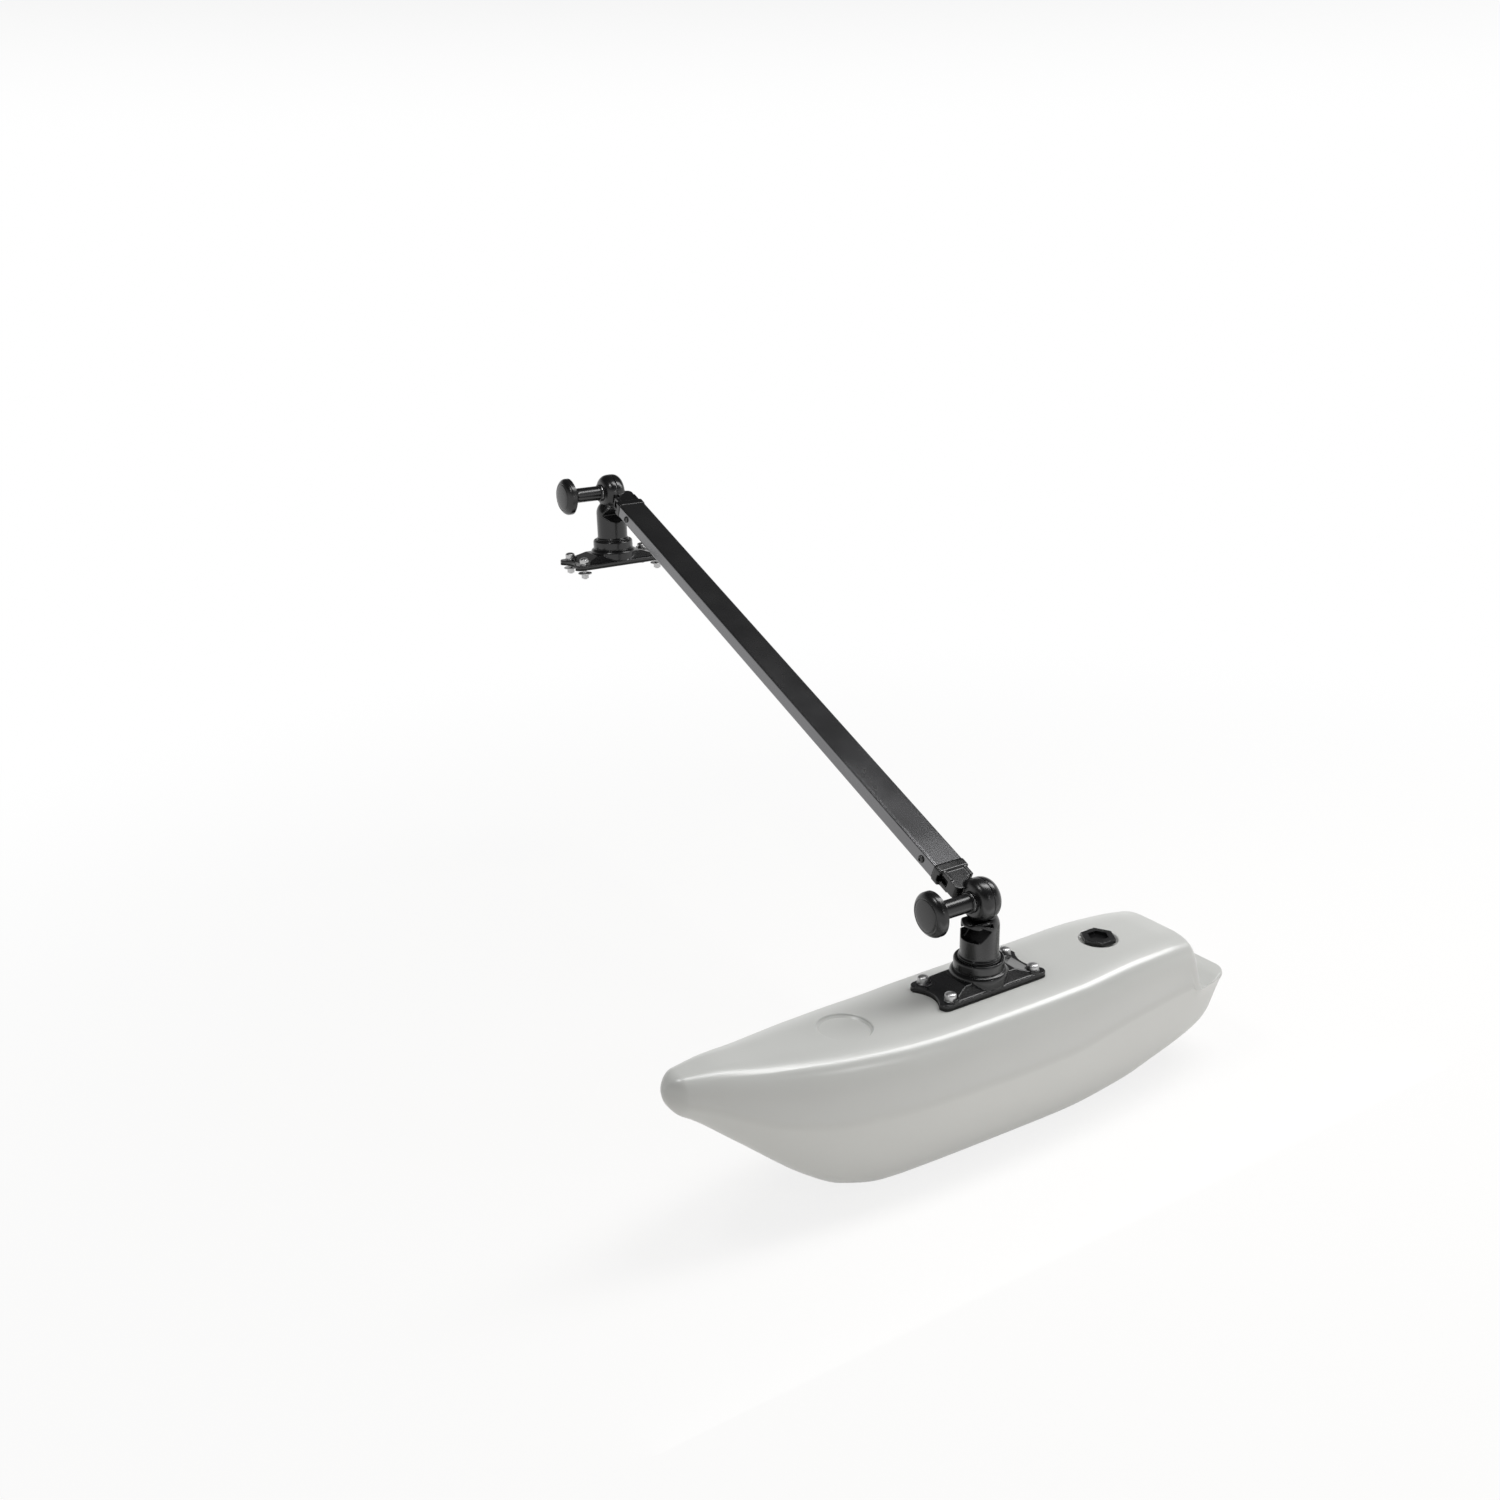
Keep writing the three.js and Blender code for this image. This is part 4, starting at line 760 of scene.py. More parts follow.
def hull_body(s):
    """Hull: rings bridged from bow to stern and closed at both ends."""
    bm = bmesh.new()
    loops = []
    for points in hull_rings(s):
        verts = [bm.verts.new(p) for p in points]
        loops.append([bm.edges.new(pair) for pair in zip(verts, verts[1:] + verts[:1])])
    for first, second in zip(loops, loops[1:]):
        bmesh.ops.bridge_loops(bm, edges=first + second)
    bmesh.ops.holes_fill(bm, edges=loops[0] + loops[-1], sides=0)
    bmesh.ops.recalc_face_normals(bm, faces=bm.faces)
    return moved(bm, shift(-s.station_share * FLOAT_LENGTH))


def port_cutter(s, x, radius, depth):
    """Round recess with a rounded lip, tilted to lie in the deck at x."""
    lip = PORT_LIP
    brim, clear = radius + 2 * lip, 10 * lip
    ends = [deck_height(s, x + side * radius) for side in (-1, 1)]
    tilt = math.atan2(ends[0] - ends[1], 2 * radius)
    cutter = spun([(0, -depth), (radius - lip, -depth), (radius, lip - depth), (radius, -lip),
                   *quarter(radius, -lip, radius + lip, 0), (brim, lip / 4), (brim, clear),
                   (0, clear)])
    return moved(cutter, turn(tilt, "Y"), shift(x, 0, sum(ends) / 2))


class OUTRIGGER_OT_float(Operator):
    """Build the hull of the float with its two ports"""
    bl_idname = "outrigger.float"
    bl_label = "Float"

    def execute(self, context):
        s = settings("hull")
        blank = port_cutter(s, -PORT_X, s.blank_radius, s.blank_depth)
        drain = port_cutter(s, PORT_X, s.drain_radius, s.drain_depth)
        hull = combined(hull_body(s), cuts=[blank, drain])
        moved(hull, Matrix.Translation(BASE["lower"]))
        weighted(piece("float_hull", hull, "float_polyethylene", "float", "float_shell"))
        return {"FINISHED"}


# Base plates

PLATE_EDGE = 0.8 * MM
PLATE_CORNER = 10 * MM
LOWER_ROUND = 5 * MM
TIER_ROUND = 3 * MM
GROOVE_DEPTH = 3 * MM
GROOVE_WIDTH = 2.5 * MM
# How far the saddle's sides and ends lean in, and its margin from the plate's long edges
SADDLE_RAKE = 11 * MM
SADDLE_END_RAKE = 27 * MM
SADDLE_EDGE = 2 * MM
PLATE_VOXEL, PLATE_PASSES = 0.7 * MM, 3


def outline_arc(start, corner, end, steps=6):
    """Quadratic curve from start to end, without its first point."""
    points = []
    for i in range(1, steps + 1):
        t = i / steps
        points.append(tuple(a * (1 - t) ** 2 + b * 2 * t * (1 - t) + c * t ** 2
                            for a, b, c in zip(start, corner, end)))
    return points


def plate_outline(s):
    x, y, r = PLATE.x / 2, PLATE.y / 2, PLATE_CORNER
    waist = x - 2 * s.waist
    points = []
    for sign in (1, -1):
        side = [(sign * a, sign * b) for a, b in (
            (x - r, -y), (x, -y), (x, r - y), (waist, 0), (x, y - r), (x, y), (x - r, y))]
        points.append(side[0])
        points += outline_arc(side[0], side[1], side[2])
        points += outline_arc(side[2], side[3], side[4], 2 * ARC)
        points += outline_arc(side[4], side[5], side[6])
    return points


def rim_outline(s):
    outer = s.rim_radius + s.rim_width
    turns = [math.pi / 2 + i / (2 * ARC) * math.pi for i in range(2 * ARC + 1)]
    outside = [(outer * math.cos(t), outer * math.sin(t)) for t in turns]
    inside = [(s.rim_radius * math.cos(t), s.rim_radius * math.sin(t)) for t in reversed(turns)]
    return [(s.rim_width, outer), *outside, (s.rim_width, -outer),
            (s.rim_width, -s.rim_radius), *inside, (s.rim_width, s.rim_radius)]


def plate_body(s, fit):
    """Plate with its two-tier hub, saddle and bolt rims; z = 0 is its underside."""
    base = s.thickness - fit
    top = s.thickness
    hub = spun([
        (0, base), (s.lower_radius, base),
        *quarter(s.lower_radius, s.lower_top - LOWER_ROUND, s.lower_radius - LOWER_ROUND,
                 s.lower_top),
        (s.upper_radius - TIER_ROUND / 2, s.lower_top),
        (s.upper_radius, s.lower_top + TIER_ROUND / 2),
        *quarter(s.upper_radius, s.upper_top - TIER_ROUND, s.upper_radius - TIER_ROUND,
                 s.upper_top),
        (0, s.upper_top),
    ])
    width = PLATE.y - 2 * SADDLE_EDGE
    saddle = frustum((s.saddle_length, width),
                     (s.saddle_length - 2 * SADDLE_END_RAKE, width - 2 * SADDLE_RAKE),
                     base, top + s.saddle_height)
    rims, seats = [], []
    for along, across in CORNERS.values():
        place = shift(along * BOLT_SPREAD.x, across * BOLT_SPREAD.y)
        rim = extruded(rim_outline(s), base, top + s.rim_height)
        rims.append(moved(rim, *([HALF_TURN] if along < 0 else []), place))
        seats.append(moved(rod(s.rim_radius, top, s.upper_top), place))
        way = PLATE.x / 2 - BOLT_SPREAD.x + OVERCUT
        seats.append(moved(block(way, 2 * s.rim_radius, s.upper_top),
                           shift(along * way / 2, z=top + s.upper_top / 2), place))
    groove = FOOT_RADIUS + fit
    cuts = [*seats,
            ring(groove, groove + GROOVE_WIDTH, s.upper_top - GROOVE_DEPTH,
                 s.upper_top + GROOVE_DEPTH, segments=ROUND)]
    body = extruded(plate_outline(s), 0, top, bevel=PLATE_EDGE)
    return combined(body, [saddle, *rims, hub], cuts)


class OUTRIGGER_OT_bases(Operator):
    """Build both base plates and their pads"""
    bl_idname = "outrigger.bases"
    bl_label = "Base plates"

    def execute(self, context):
        s, fit = settings("base"), settings("knuckle").fit
        for end, body in BASE_BODY.items():
            place = Matrix.Translation(BASE[end])
            plate = softened(plate_body(s, fit), PLATE_VOXEL, PLATE_PASSES)
            moved(plate, shift(z=PAD), place)
            piece(f"{end}_plate_moulding", plate, "black_nylon", body, f"{end}_base_plate",
                  soft=True)
            pad = moved(extruded(plate_outline(s), 0, PAD), place)
            piece(f"{end}_pad_sheet", pad, "black_rubber", body, f"{end}_base_pad")
        return {"FINISHED"}


# Bolts, washers and drain plug

HEAD_CROWN = 3 * MM
HEAD_EDGE = 0.5 * MM
WASHER_BEVEL = 0.3 * MM
PLUG_HEAD = 6 * MM
PLUG_EDGE = 0.8 * MM
PLUG_NECK = 10.7 * MM
PLUG_SOCKET_DEPTH = 4 * MM


def bolt_body(s, length):
    """Domed bolt; its head's underside is at z = 0."""
    return spun([
        (0, -length), (s.bolt_radius, -length), (s.bolt_radius, 0),
        (s.head_radius - HEAD_EDGE, 0), (s.head_radius, HEAD_EDGE),
        *quarter(s.head_radius, s.head_height - HEAD_CROWN, 0, s.head_height)], SMALL_ROUND)


class OUTRIGGER_OT_fasteners(Operator):
    """Build the bolts and washers of both bases"""
    bl_idname = "outrigger.fasteners"
    bl_label = "Fasteners"

    def execute(self, context):
        s, base = settings("fastener"), settings("base")
        seat = PAD + base.thickness
        bore = s.bolt_radius + settings("knuckle").fit
        for end, body in BASE_BODY.items():
            for corner, (along, across) in CORNERS.items():
                place = (Matrix.Translation(BASE[end])
                         @ shift(along * BOLT_SPREAD.x, across * BOLT_SPREAD.y))
                low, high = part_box(f"{end}_bolt_{corner}")
                length = high.z - low.z - s.head_height
                washer = ring(bore, s.washer_radius, seat, seat + s.washer, WASHER_BEVEL)
                piece(f"{end}_plain_washer_{corner}", moved(washer, place), "stainless_steel",
                      body, f"{end}_washer_{corner}")
                bolt = moved(bolt_body(s, length), shift(z=seat + s.washer), place)
                piece(f"{end}_domed_bolt_{corner}", bolt, "stainless_steel", body,
                      f"{end}_bolt_{corner}")
                if end == "upper":
                    low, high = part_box(f"upper_backing_washer_{corner}")
                    backing = ring(bore, s.backing_radius, low.z, high.z, WASHER_BEVEL)
                    piece(f"deck_washer_{corner}", moved(backing, place), "stainless_steel",
                          body, f"upper_backing_washer_{corner}")
        return {"FINISHED"}


class OUTRIGGER_OT_drain_plug(Operator):
    """Build the drain plug"""
    bl_idname = "outrigger.drain_plug"
    bl_label = "Drain plug"

    def execute(self, context):
        s = settings("fastener")
        low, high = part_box("drain_plug")
        head_low = high.z - PLUG_HEAD
        head = extruded(hexagon(s.plug_flats), head_low, high.z, PLUG_EDGE, 3)
        neck = rod(PLUG_NECK, low.z, head_low + PLUG_HEAD / 2, SMALL_ROUND)
        socket = extruded(hexagon(s.plug_socket), high.z - PLUG_SOCKET_DEPTH,
                          high.z + PLUG_SOCKET_DEPTH)
        centre = node_centre("drain_plug")
        plug = combined(head, [neck], [socket])
        weighted(piece("drain_plug_moulding", moved(plug, shift(centre.x, centre.y)),
                       "black_nylon", "drain_plug", "drain_plug"))
        return {"FINISHED"}


# Posts

FOOT_RADIUS = 24 * MM
FOOT_HEIGHT = 3 * MM
# Top of the lap's closed side below the hinge, and the lap's stock over the deep pocket
LAP_HORN = 16 * MM
POCKET_ROOF = 2.3 * MM
# End of the deep pocket behind the post's middle, and of the shallow ones ahead of it
POCKET_WALL = 9 * MM
POCKET_FLOOR = 16 * MM
# Outlines of the pockets, from the post's middle line
POCKET_RIB = 3 * MM
POCKET_SIDE = 24 * MM
POCKET_CORNER = 13.92 * MM
WEDGE_HEIGHT = 4.8 * MM
WEDGE_TIP = 13.2 * MM
# Knuckle: rounding of the post's and the arm's half, stud, washer's seat and nut
HEAD_ROUND = 14 * MM
EYE_ROUND = 11 * MM
STUD_BORE = 5.3 * MM
SPOT_RADIUS = 13 * MM
NUT_DEPTH = 8.3 * MM
MOULD_VOXEL, MOULD_PASSES = 0.6 * MM, 4


def barrel_half(radius, width, edge_round, start=0.0):
    """Half a knuckle barrel along X, flat at its start and rounded at its outer end."""
    profile = [(0, start), (radius, start),
               *quarter(radius, width - edge_round, radius - edge_round, width), (0, width)]
    return moved(spun(profile), ALONG_X)


UPRIGHT_X = Matrix(((0, 0, 1, 0), (1, 0, 0, 0), (0, 1, 0, 0), (0, 0, 0, 1)))
UPRIGHT_Y = Matrix(((1, 0, 0, 0), (0, 0, 1, 0), (0, 1, 0, 0), (0, 0, 0, 1)))


def bar(way, corners, low, high):
    """Prism from (y, z) corners along X, or from (x, z) corners along Y."""
    return tidy(moved(extruded(corners, low, high), way))


def lap_outline(s, knuckle, side):
    """Space of the lap seen along the hinge, which is at (0, 0): eye's arc, horn and slope."""
    radius = knuckle.radius + s.lap_clearance
    height = STEM_HEIGHT / 2 + STEM_RIB + 2 * s.lap_clearance
    start = math.pi + math.asin(LAP_HORN / radius)
    end = math.tau - s.lap_drop - math.asin(height / radius)
    turns = [start + (end - start) * i / ROUND for i in range(ROUND + 1)]
    arc = [(radius * math.cos(t), radius * math.sin(t)) for t in turns]
    foot = (arc[-1][0] + 2 * side * math.cos(s.lap_drop),
            arc[-1][1] - 2 * side * math.sin(s.lap_drop))
    return [(-side, side), (-side, -LAP_HORN), *arc, foot, (foot[0], side)]


def pocket_bars(s):
    """Large pocket and the wedge over it, from the outboard side; the hinge is at z = 0."""
    edge, wall = POCKET_SIDE, -POCKET_FLOOR
    foot, point, top = -s.pocket_foot, -s.pocket_point, -s.pocket_top
    roof = -settings("knuckle").radius - s.lap_clearance - POCKET_ROOF
    large = [(-edge, foot), (-POCKET_CORNER, foot), (-POCKET_RIB / 2, point)]
    ledge = point + POCKET_RIB
    tip = (-WEDGE_TIP, ledge + WEDGE_TIP * (top - point) / edge)
    wedge = [(POCKET_RIB / 2, ledge), (POCKET_RIB / 2, ledge + WEDGE_HEIGHT), tip]
    return [bar(UPRIGHT_Y, [*large, (-edge, roof)], -edge, POCKET_WALL),
            bar(UPRIGHT_Y, [*large, (-edge, top)], -edge, wall),
            bar(UPRIGHT_Y, wedge, -edge, wall)]


def post_body(s, knuckle, base, nut_pocket):
    """Post with its half-lapped head on +X; z = 0 is the underside of the plate."""
    foot = base.upper_top + knuckle.fit
    spring = HINGE_HEIGHT - s.shoulder
    column = spun([
        (0, foot - GROOVE_DEPTH), (s.radius, foot - GROOVE_DEPTH), (s.radius, foot),
        (FOOT_RADIUS, foot), (FOOT_RADIUS, foot + FOOT_HEIGHT / 2),
        (s.radius, foot + FOOT_HEIGHT),
        *quarter(s.radius, spring, 0, spring + s.dome, 2 * ARC)])
    lift = shift(z=HINGE_HEIGHT)
    head = barrel_half(knuckle.radius, knuckle.width, HEAD_ROUND, -s.lap_clearance)
    moved(head, lift)
    side = 2 * s.radius
    lap_radius = knuckle.radius + s.lap_clearance
    lap = moved(bar(UPRIGHT_X, lap_outline(s, knuckle, side), -side, 0), lift)
    relief = moved(block(2 * side, side, side),
                   shift(0, lap_radius + side / 2), turn(-s.lap_drop, "X"), lift)
    bore = moved(rod(STUD_BORE, -side, side, SMALL_ROUND), ALONG_X, lift)
    spot = moved(rod(SPOT_RADIUS, knuckle.width - knuckle.fit / 2, side), ALONG_X, lift)
    cuts = [lap, relief, bore, spot]
    if nut_pocket:
        cuts.append(moved(extruded(hexagon(s.nut_flats), knuckle.width - NUT_DEPTH, side),
                          ALONG_X, lift))
    cuts += [moved(pocket, lift) for pocket in pocket_bars(s)]
    return combined(column, [head], cuts)


class OUTRIGGER_OT_posts(Operator):
    """Build both swivel posts"""
    bl_idname = "outrigger.posts"
    bl_label = "Posts"

    def execute(self, context):
        s, knuckle, base = settings("post"), settings("knuckle"), settings("base")
        for end in BASE_BODY:
            post = softened(post_body(s, knuckle, base, end == "lower"), MOULD_VOXEL, MOULD_PASSES)
            turned = [HALF_TURN] if end == "upper" else []
            moved(post, *turned, shift(z=PAD), Matrix.Translation(BASE[end]))
            piece(f"{end}_post_moulding", post, "black_nylon", f"{end}_post", f"{end}_post",
                  soft=True)
        return {"FINISHED"}


# Arm

TUBE_CORNER = 3.5 * MM
# The stem widens over the flare: from the gusset on the knob's side, and past a gap on the other
STEM_FLARE = 7 * MM
GUSSET = 15 * MM
FLARE_GAP = 3 * MM
STEM_HEIGHT = 17 * MM
STEM_RIB = 1.6 * MM
STEM_RIB_WIDTH = 4 * MM
SLOT_HEIGHT = 9 * MM
SLOT_DEPTH = 6 * MM
SLOT_INSET = 3 * MM
COLLAR_LIP = 0.8 * MM
COLLAR_BEVEL = 1.5 * MM
SCREW_HEIGHT = 2.6 * MM
SCREW_EDGE = 0.4 * MM
SCREW_DRIVE = 3.6 * MM


def arm_end_body(s, knuckle, nut_pocket):
    """Moulded end: eye about X at the origin, stem and collar along -Y."""
    fit = knuckle.fit
    thickness = knuckle.width - 2 * fit
    eye = moved(barrel_half(knuckle.radius, thickness, EYE_ROUND), shift(-thickness / 2))
    start = knuckle.radius + s.stem_length
    narrow, wide = thickness / 2, s.tube_width / 2 - TUBE_CORNER
    clear = knuckle.radius + settings("post").lap_clearance + FLARE_GAP
    half = s.collar_length / 2
    outline = []
    for side, first in ((1, GUSSET), (-1, clear)):
        curve = outline_arc((narrow, -first), (wide, -first), (wide, -first - STEM_FLARE))
        edge = [(side * x, y) for x, y in
                [(narrow, 0), (narrow, -first), *curve, (wide, -start - half)]]
        outline += edge[::side]
    height = STEM_HEIGHT / 2
    stem = extruded(outline, -height, height)
    ribs = [moved(block(STEM_RIB_WIDTH, start - clear, STEM_HEIGHT + 2 * STEM_RIB),
                  shift(side * (wide - STEM_RIB_WIDTH / 2), -(start + clear) / 2))
            for side in (-1, 1)]
    length = s.collar_length - fit
    collar = rounded_block(s.tube_width + 2 * COLLAR_LIP, length,
                           s.tube_height + 2 * COLLAR_LIP, TUBE_CORNER)
    ends = [e for e in collar.edges if abs(e.verts[0].co.y - e.verts[1].co.y) < WELD]
    moved(bevelled(collar, ends, COLLAR_BEVEL, 2), shift(y=-start - length / 2))
    slot = start - clear
    slots = [moved(block(2 * SLOT_DEPTH, slot, SLOT_HEIGHT),
                   shift(side * wide, -clear - SLOT_INSET - slot / 2))
             for side in (-1, 1)]
    bore = moved(rod(STUD_BORE, -s.tube_width, s.tube_width, SMALL_ROUND), ALONG_X)
    cuts = [*slots, bore]
    if nut_pocket:
        post = settings("post")
        cuts.append(moved(extruded(hexagon(post.nut_flats), narrow - NUT_DEPTH,
                                   s.tube_width), ALONG_X))
    return combined(eye, [stem, *ribs, collar], cuts)


def arm_place(along):
    """Place in the row of a point on the arm's middle line, turned with the arm."""
    origin = Vector((ARM_X, HINGE["upper"].y, HINGE["upper"].z))
    return Matrix.Translation(origin) @ turn(ARM_SLOPE, "X") @ shift(y=-along)


class OUTRIGGER_OT_arm(Operator):
    """Build the arm tube, its moulded ends and their screws"""
    bl_idname = "outrigger.arm"
    bl_label = "Arm"

    def execute(self, context):
        s, knuckle = settings("arm"), settings("knuckle")
        start = knuckle.radius + s.stem_length + s.collar_length
        tube = rounded_block(s.tube_width, ARM_LENGTH - 2 * start, s.tube_height, TUBE_CORNER)
        moved(tube, arm_place(ARM_LENGTH / 2))
        weighted(piece("arm_tube_extrusion", tube, "black_anodised_tube", "arm", "arm_tube"))
        for end, turned, along in (("upper", [], 0), ("lower", [HALF_TURN], ARM_LENGTH)):
            body = softened(arm_end_body(s, knuckle, end == "upper"), MOULD_VOXEL,
                            MOULD_PASSES)
            moved(body, *turned, arm_place(along))
            piece(f"arm_{end}_moulding", body, "black_nylon", "arm", f"arm_{end}_end", soft=True)
        for end, along in (("upper", start + s.screw_inset),
                           ("lower", ARM_LENGTH - start - s.screw_inset)):
            head = spun([(0, 0), (s.screw_head, 0),
                         *quarter(s.screw_head, SCREW_EDGE, 0, SCREW_HEIGHT)], SMALL_ROUND)
            drive = extruded(hexagon(SCREW_DRIVE), SCREW_HEIGHT / 2, SCREW_HEIGHT * 2)
            screw = combined(head, cuts=[drive])
            moved(screw, turn(-math.pi / 2, "Y"), shift(-s.tube_width / 2 - knuckle.fit),
                  arm_place(along))
            obj = piece(f"arm_{end}_screw_head", screw, "blackened_screw", "arm",
                        f"arm_{end}_screw")
        return {"FINISHED"}


# Clamp knobs

FRONT_RADIUS = 20 * MM
KNOB_GROOVE = 1.2 * MM
HUB_FLARE = 2 * MM
CLAMP_WASHER_RADIUS = 12 * MM
CLAMP_WASHER = 1.5 * MM


def knob_profile(s, knuckle):
    """Half outline of the knob, from its foot to the middle of its front."""
    start = knuckle.width + CLAMP_WASHER + 2 * knuckle.fit
    rim_end = s.reach - s.crown
    rim_start = rim_end - s.rim
    cone_start = rim_start - s.cone
    edge = KNOB_GROOVE / 2
    ridge = rim_end + s.crown * math.sqrt(1 - (FRONT_RADIUS / s.radius) ** 2)
    shoulder = [(r, z) for r, z in quarter(s.radius, rim_end, 0, s.reach, 4 * ARC)
                if r > FRONT_RADIUS]
    return [
        (0, start), (s.hub_radius + HUB_FLARE, start),
        *quarter(s.hub_radius + HUB_FLARE, start, s.hub_radius, start + HUB_FLARE)[1:],
        *quarter(s.hub_radius, cone_start, s.radius - 2 * KNOB_GROOVE, rim_start),
        (s.radius - 2 * KNOB_GROOVE, rim_start + KNOB_GROOVE),
        (s.radius - edge, rim_start + KNOB_GROOVE), (s.radius, rim_start + KNOB_GROOVE + edge),
        *shoulder, (FRONT_RADIUS, ridge),
        (FRONT_RADIUS - edge, ridge - edge / 2),
        *quarter(FRONT_RADIUS - 2 * edge, ridge - edge / 2, 0, s.reach - 2 * KNOB_GROOVE),
    ]


class OUTRIGGER_OT_knobs(Operator):
    """Build the clamp knobs and their washers"""
    bl_idname = "outrigger.knobs"
    bl_label = "Clamp knobs"

    def execute(self, context):
        s, knuckle = settings("knob"), settings("knuckle")
        towards_bow = turn(-math.pi / 2, "Y")
        for end in BASE_BODY:
            place = Matrix.Translation(HINGE[end])
            knob = moved(spun(knob_profile(s, knuckle)), towards_bow, place)
            piece(f"{end}_knob_moulding", knob, "black_nylon", f"{end}_knob", f"{end}_knob")
            low = knuckle.width + knuckle.fit
            washer = ring(STUD_BORE, CLAMP_WASHER_RADIUS, low, low + CLAMP_WASHER,
                          WASHER_BEVEL)
            piece(f"{end}_clamp_washer", moved(washer, towards_bow, place), "stainless_steel",
                  f"{end}_knob", f"{end}_knob_washer")
        return {"FINISHED"}


class OUTRIGGER_OT_carried_nodes(Operator):
    """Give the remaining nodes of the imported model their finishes"""
    bl_idname = "outrigger.carried_nodes"
    bl_label = "Carried nodes"

    def execute(self, context):
        slots = {item["node"]: item["material_slot"] for item in frame["record"]["subparts"]}
        for name, obj in frame["nodes"].items():
            obj.material_slots[0].material = bpy.data.materials[slots[name]]
        return {"FINISHED"}


# Stage: lengths in metres, as the softboxes are too large for millimetres

PICTURE_PX = 1500
WHITE = (1, 1, 1, 1)
FLOOR_REACH = 40
FLOOR_GAP = 0.5 * MM
# How white the floor is beside the float, and from where to where it fades to full white
FADE_LEAST = 0.82
FADE_START, FADE_END = 0.3, 2.2
SKY_TOP = 0.8
BACKDROP_LOW, BACKDROP_TOP = 0.05, 0.5
SIDE_HEIGHT = 0.1
FLOAT_SIDE = Vector((BASE["lower"].x, CAD_BOX[0][1], CAD_BOX[0][2] + SIDE_HEIGHT))
SOFTBOXES = (
    # name, setting of its power, width, length, what it faces, its place from there
    ("overhead softbox", "key", 0.55, 2.2, BASE["lower"], (0.95, -0.08, 1.75)),
    ("outboard softbox", "front", 0.16, 0.2, HINGE["lower"], (0.38, -1.4, 0.66)),
    ("bow softbox", "bow", 0.4, 0.4, HINGE["lower"], (-0.9, 0.1, 1.5)),
    ("floor strip", "low", 1.1, 0.16, FLOAT_SIDE, (0, -0.16, -0.08)),
)


def softbox(name, power, width, length, target, offset):
    lamp = bpy.data.lights.new(name, "AREA")
    lamp.shape = "RECTANGLE"
    lamp.size, lamp.size_y = width, length
    lamp.energy = power
    obj = linked(name, lamp)
    aim = (-Vector(offset)).to_track_quat("-Z", "Y")
    obj.matrix_world = Matrix.Translation(target + Vector(offset)) @ aim.to_matrix().to_4x4()
    obj.visible_camera = False


def background_rays(tree):
    """1 for the rays that show the background: to the camera, off a shine or through glass."""
    path = node(tree, "ShaderNodeLightPath").outputs
    total = path["Is Camera Ray"]
    for name in ("Is Glossy Ray", "Is Transmission Ray"):
        total = node(tree, "ShaderNodeMath", {0: total, 1: path[name]},
                     operation="MAXIMUM").outputs["Value"]
    return total


def show_background(tree, output, part, lit, seen):
    """Surface that gives one light to the object and shows another as the background."""
    mix = node(tree, "ShaderNodeMixShader", {0: part, 1: lit.outputs[0], 2: seen.outputs[0]})
    tree.links.new(mix.outputs[0], tree.nodes[output].inputs["Surface"])


def camera_matrix(s):
    """Camera that sees the lower base where the photograph shows it."""
    back = Vector((math.sin(s.azimuth) * math.cos(s.elevation),
                   -math.cos(s.azimuth) * math.cos(s.elevation), math.sin(s.elevation)))
    level = Vector((math.cos(s.azimuth), math.sin(s.azimuth), 0))
    upright = back.cross(level)
    right = level * math.cos(s.roll) + upright * math.sin(s.roll)
    up = upright * math.cos(s.roll) - level * math.sin(s.roll)
    centre = BASE["lower"] - right * s.across - up * s.upwards + back * s.distance
    matrix = Matrix((right, up, back)).transposed().to_4x4()
    matrix.translation = centre
    return matrix


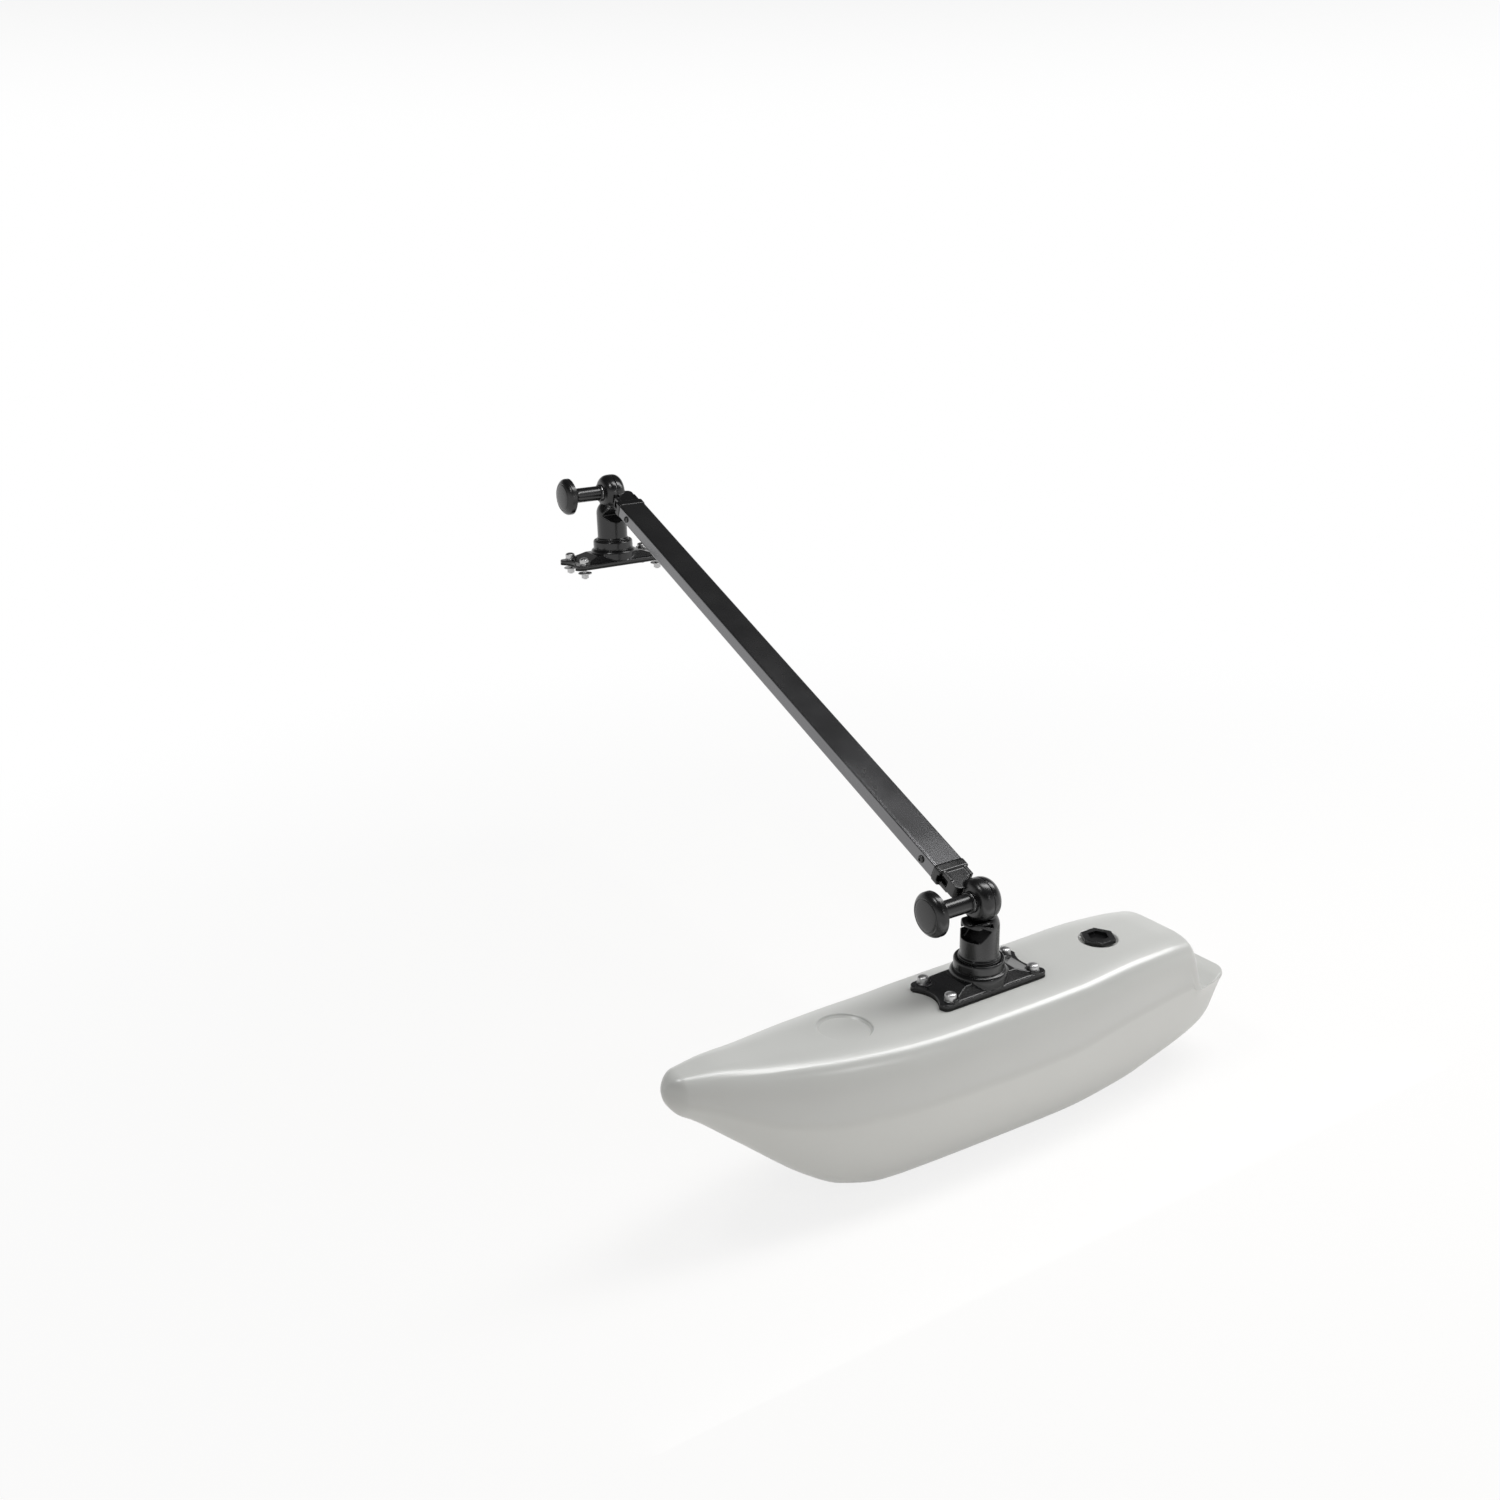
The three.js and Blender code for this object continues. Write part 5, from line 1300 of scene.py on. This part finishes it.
class OUTRIGGER_OT_stage(Operator):
    """Set up the floor, the sky, the lights and the camera"""
    bl_idname = "outrigger.stage"
    bl_label = "Stage"

    def execute(self, context):
        s = settings("stage")
        scene = context.scene
        scene.view_settings.view_transform = "Standard"
        camera = linked("camera", bpy.data.cameras.new("camera"))
        camera.data.lens = s.focal_px / PICTURE_PX * camera.data.sensor_width
        camera.matrix_world = camera_matrix(s)
        scene.camera = camera
        self.floor(s)
        self.sky(scene, s)
        for name, power, *rest in SOFTBOXES:
            softbox(name, getattr(s, power), *rest)
        return {"FINISHED"}

    def floor(self, s):
        bm = bmesh.new()
        bmesh.ops.create_grid(bm, x_segments=1, y_segments=1, size=FLOOR_REACH)
        floor = mesh_object("floor", moved(bm, shift(z=CAD_BOX[0][2] - FLOOR_GAP)))
        material = bpy.data.materials.new("pale floor")
        material.use_nodes = True
        tree = material.node_tree
        shader = tree.nodes["Principled BSDF"]
        for key, value in (("Base Color", (*s.floor_colour, 1)), ("Roughness", 0.9),
                           ("Specular IOR Level", 0.1)):
            fill(tree, shader.inputs[key], value)
        place = node(tree, "ShaderNodeTexCoord").outputs["Object"]
        away = node(tree, "ShaderNodeVectorMath", {0: place, 1: BASE["lower"]},
                    operation="DISTANCE")
        fade = node(tree, "ShaderNodeMapRange", {
            "Value": away.outputs["Value"], "From Min": FADE_START, "From Max": FADE_END,
            "To Min": FADE_LEAST}, interpolation_type="SMOOTHSTEP")
        part = node(tree, "ShaderNodeMath", {
            0: fade.outputs["Result"], 1: background_rays(tree)}, operation="MULTIPLY")
        white = node(tree, "ShaderNodeEmission", {"Color": WHITE, "Strength": 1})
        show_background(tree, "Material Output", part.outputs["Value"], shader, white)
        floor.data.materials.append(material)

    def sky(self, scene, s):
        scene.world = bpy.data.worlds.new("studio")
        scene.world.use_nodes = True
        tree = scene.world.node_tree
        place = node(tree, "ShaderNodeTexCoord").outputs["Generated"]
        height = node(tree, "ShaderNodeSeparateXYZ", {0: place}).outputs["Z"]
        light = tree.nodes["Background"]
        seen = node(tree, "ShaderNodeBackground")
        for shader, low, high, least, most in (
                (light, 0, SKY_TOP, s.horizon, s.zenith),
                (seen, BACKDROP_LOW, BACKDROP_TOP, 1, s.overhead)):
            strength = node(tree, "ShaderNodeMapRange", {
                "Value": height, "From Min": low, "From Max": high, "To Min": least,
                "To Max": most}, interpolation_type="SMOOTHSTEP")
            fill(tree, shader.inputs["Color"], WHITE)
            fill(tree, shader.inputs["Strength"], strength.outputs["Result"])
        show_background(tree, "World Output", background_rays(tree), light, seen)


class OUTRIGGER_PT_panel(Panel):
    bl_idname = "OUTRIGGER_PT_panel"
    bl_label = "Kayak outrigger"
    bl_space_type = "VIEW_3D"
    bl_region_type = "UI"
    bl_category = "Outrigger"

    def draw(self, context):
        for name, group in SETTINGS.items():
            box = self.layout.box()
            box.label(text=group.__name__)
            for key in group.__annotations__:
                box.prop(settings(name), key)
        for operator in OPERATORS:
            self.layout.operator(operator.bl_idname)


OPERATORS = (
    OUTRIGGER_OT_finishes,
    OUTRIGGER_OT_carried_nodes,
    OUTRIGGER_OT_stage,
    OUTRIGGER_OT_float,
    OUTRIGGER_OT_drain_plug,
    OUTRIGGER_OT_bases,
    OUTRIGGER_OT_fasteners,
    OUTRIGGER_OT_posts,
    OUTRIGGER_OT_arm,
    OUTRIGGER_OT_knobs,
)


def register():
    for group in SETTINGS.values():
        bpy.utils.register_class(group)
    for name, group in SETTINGS.items():
        setattr(bpy.types.Scene, f"outrigger_{name}", PointerProperty(type=group))
    for item in (*OPERATORS, OUTRIGGER_PT_panel):
        bpy.utils.register_class(item)


def unregister():
    for item in (OUTRIGGER_PT_panel, *reversed(OPERATORS)):
        bpy.utils.unregister_class(item)
    for name, group in SETTINGS.items():
        delattr(bpy.types.Scene, f"outrigger_{name}")
        bpy.utils.unregister_class(group)


def main():
    register()
    for operator in OPERATORS:
        family, name = operator.bl_idname.split(".")
        getattr(getattr(bpy.ops, family), name)()


if __name__ == "__main__":
    main()
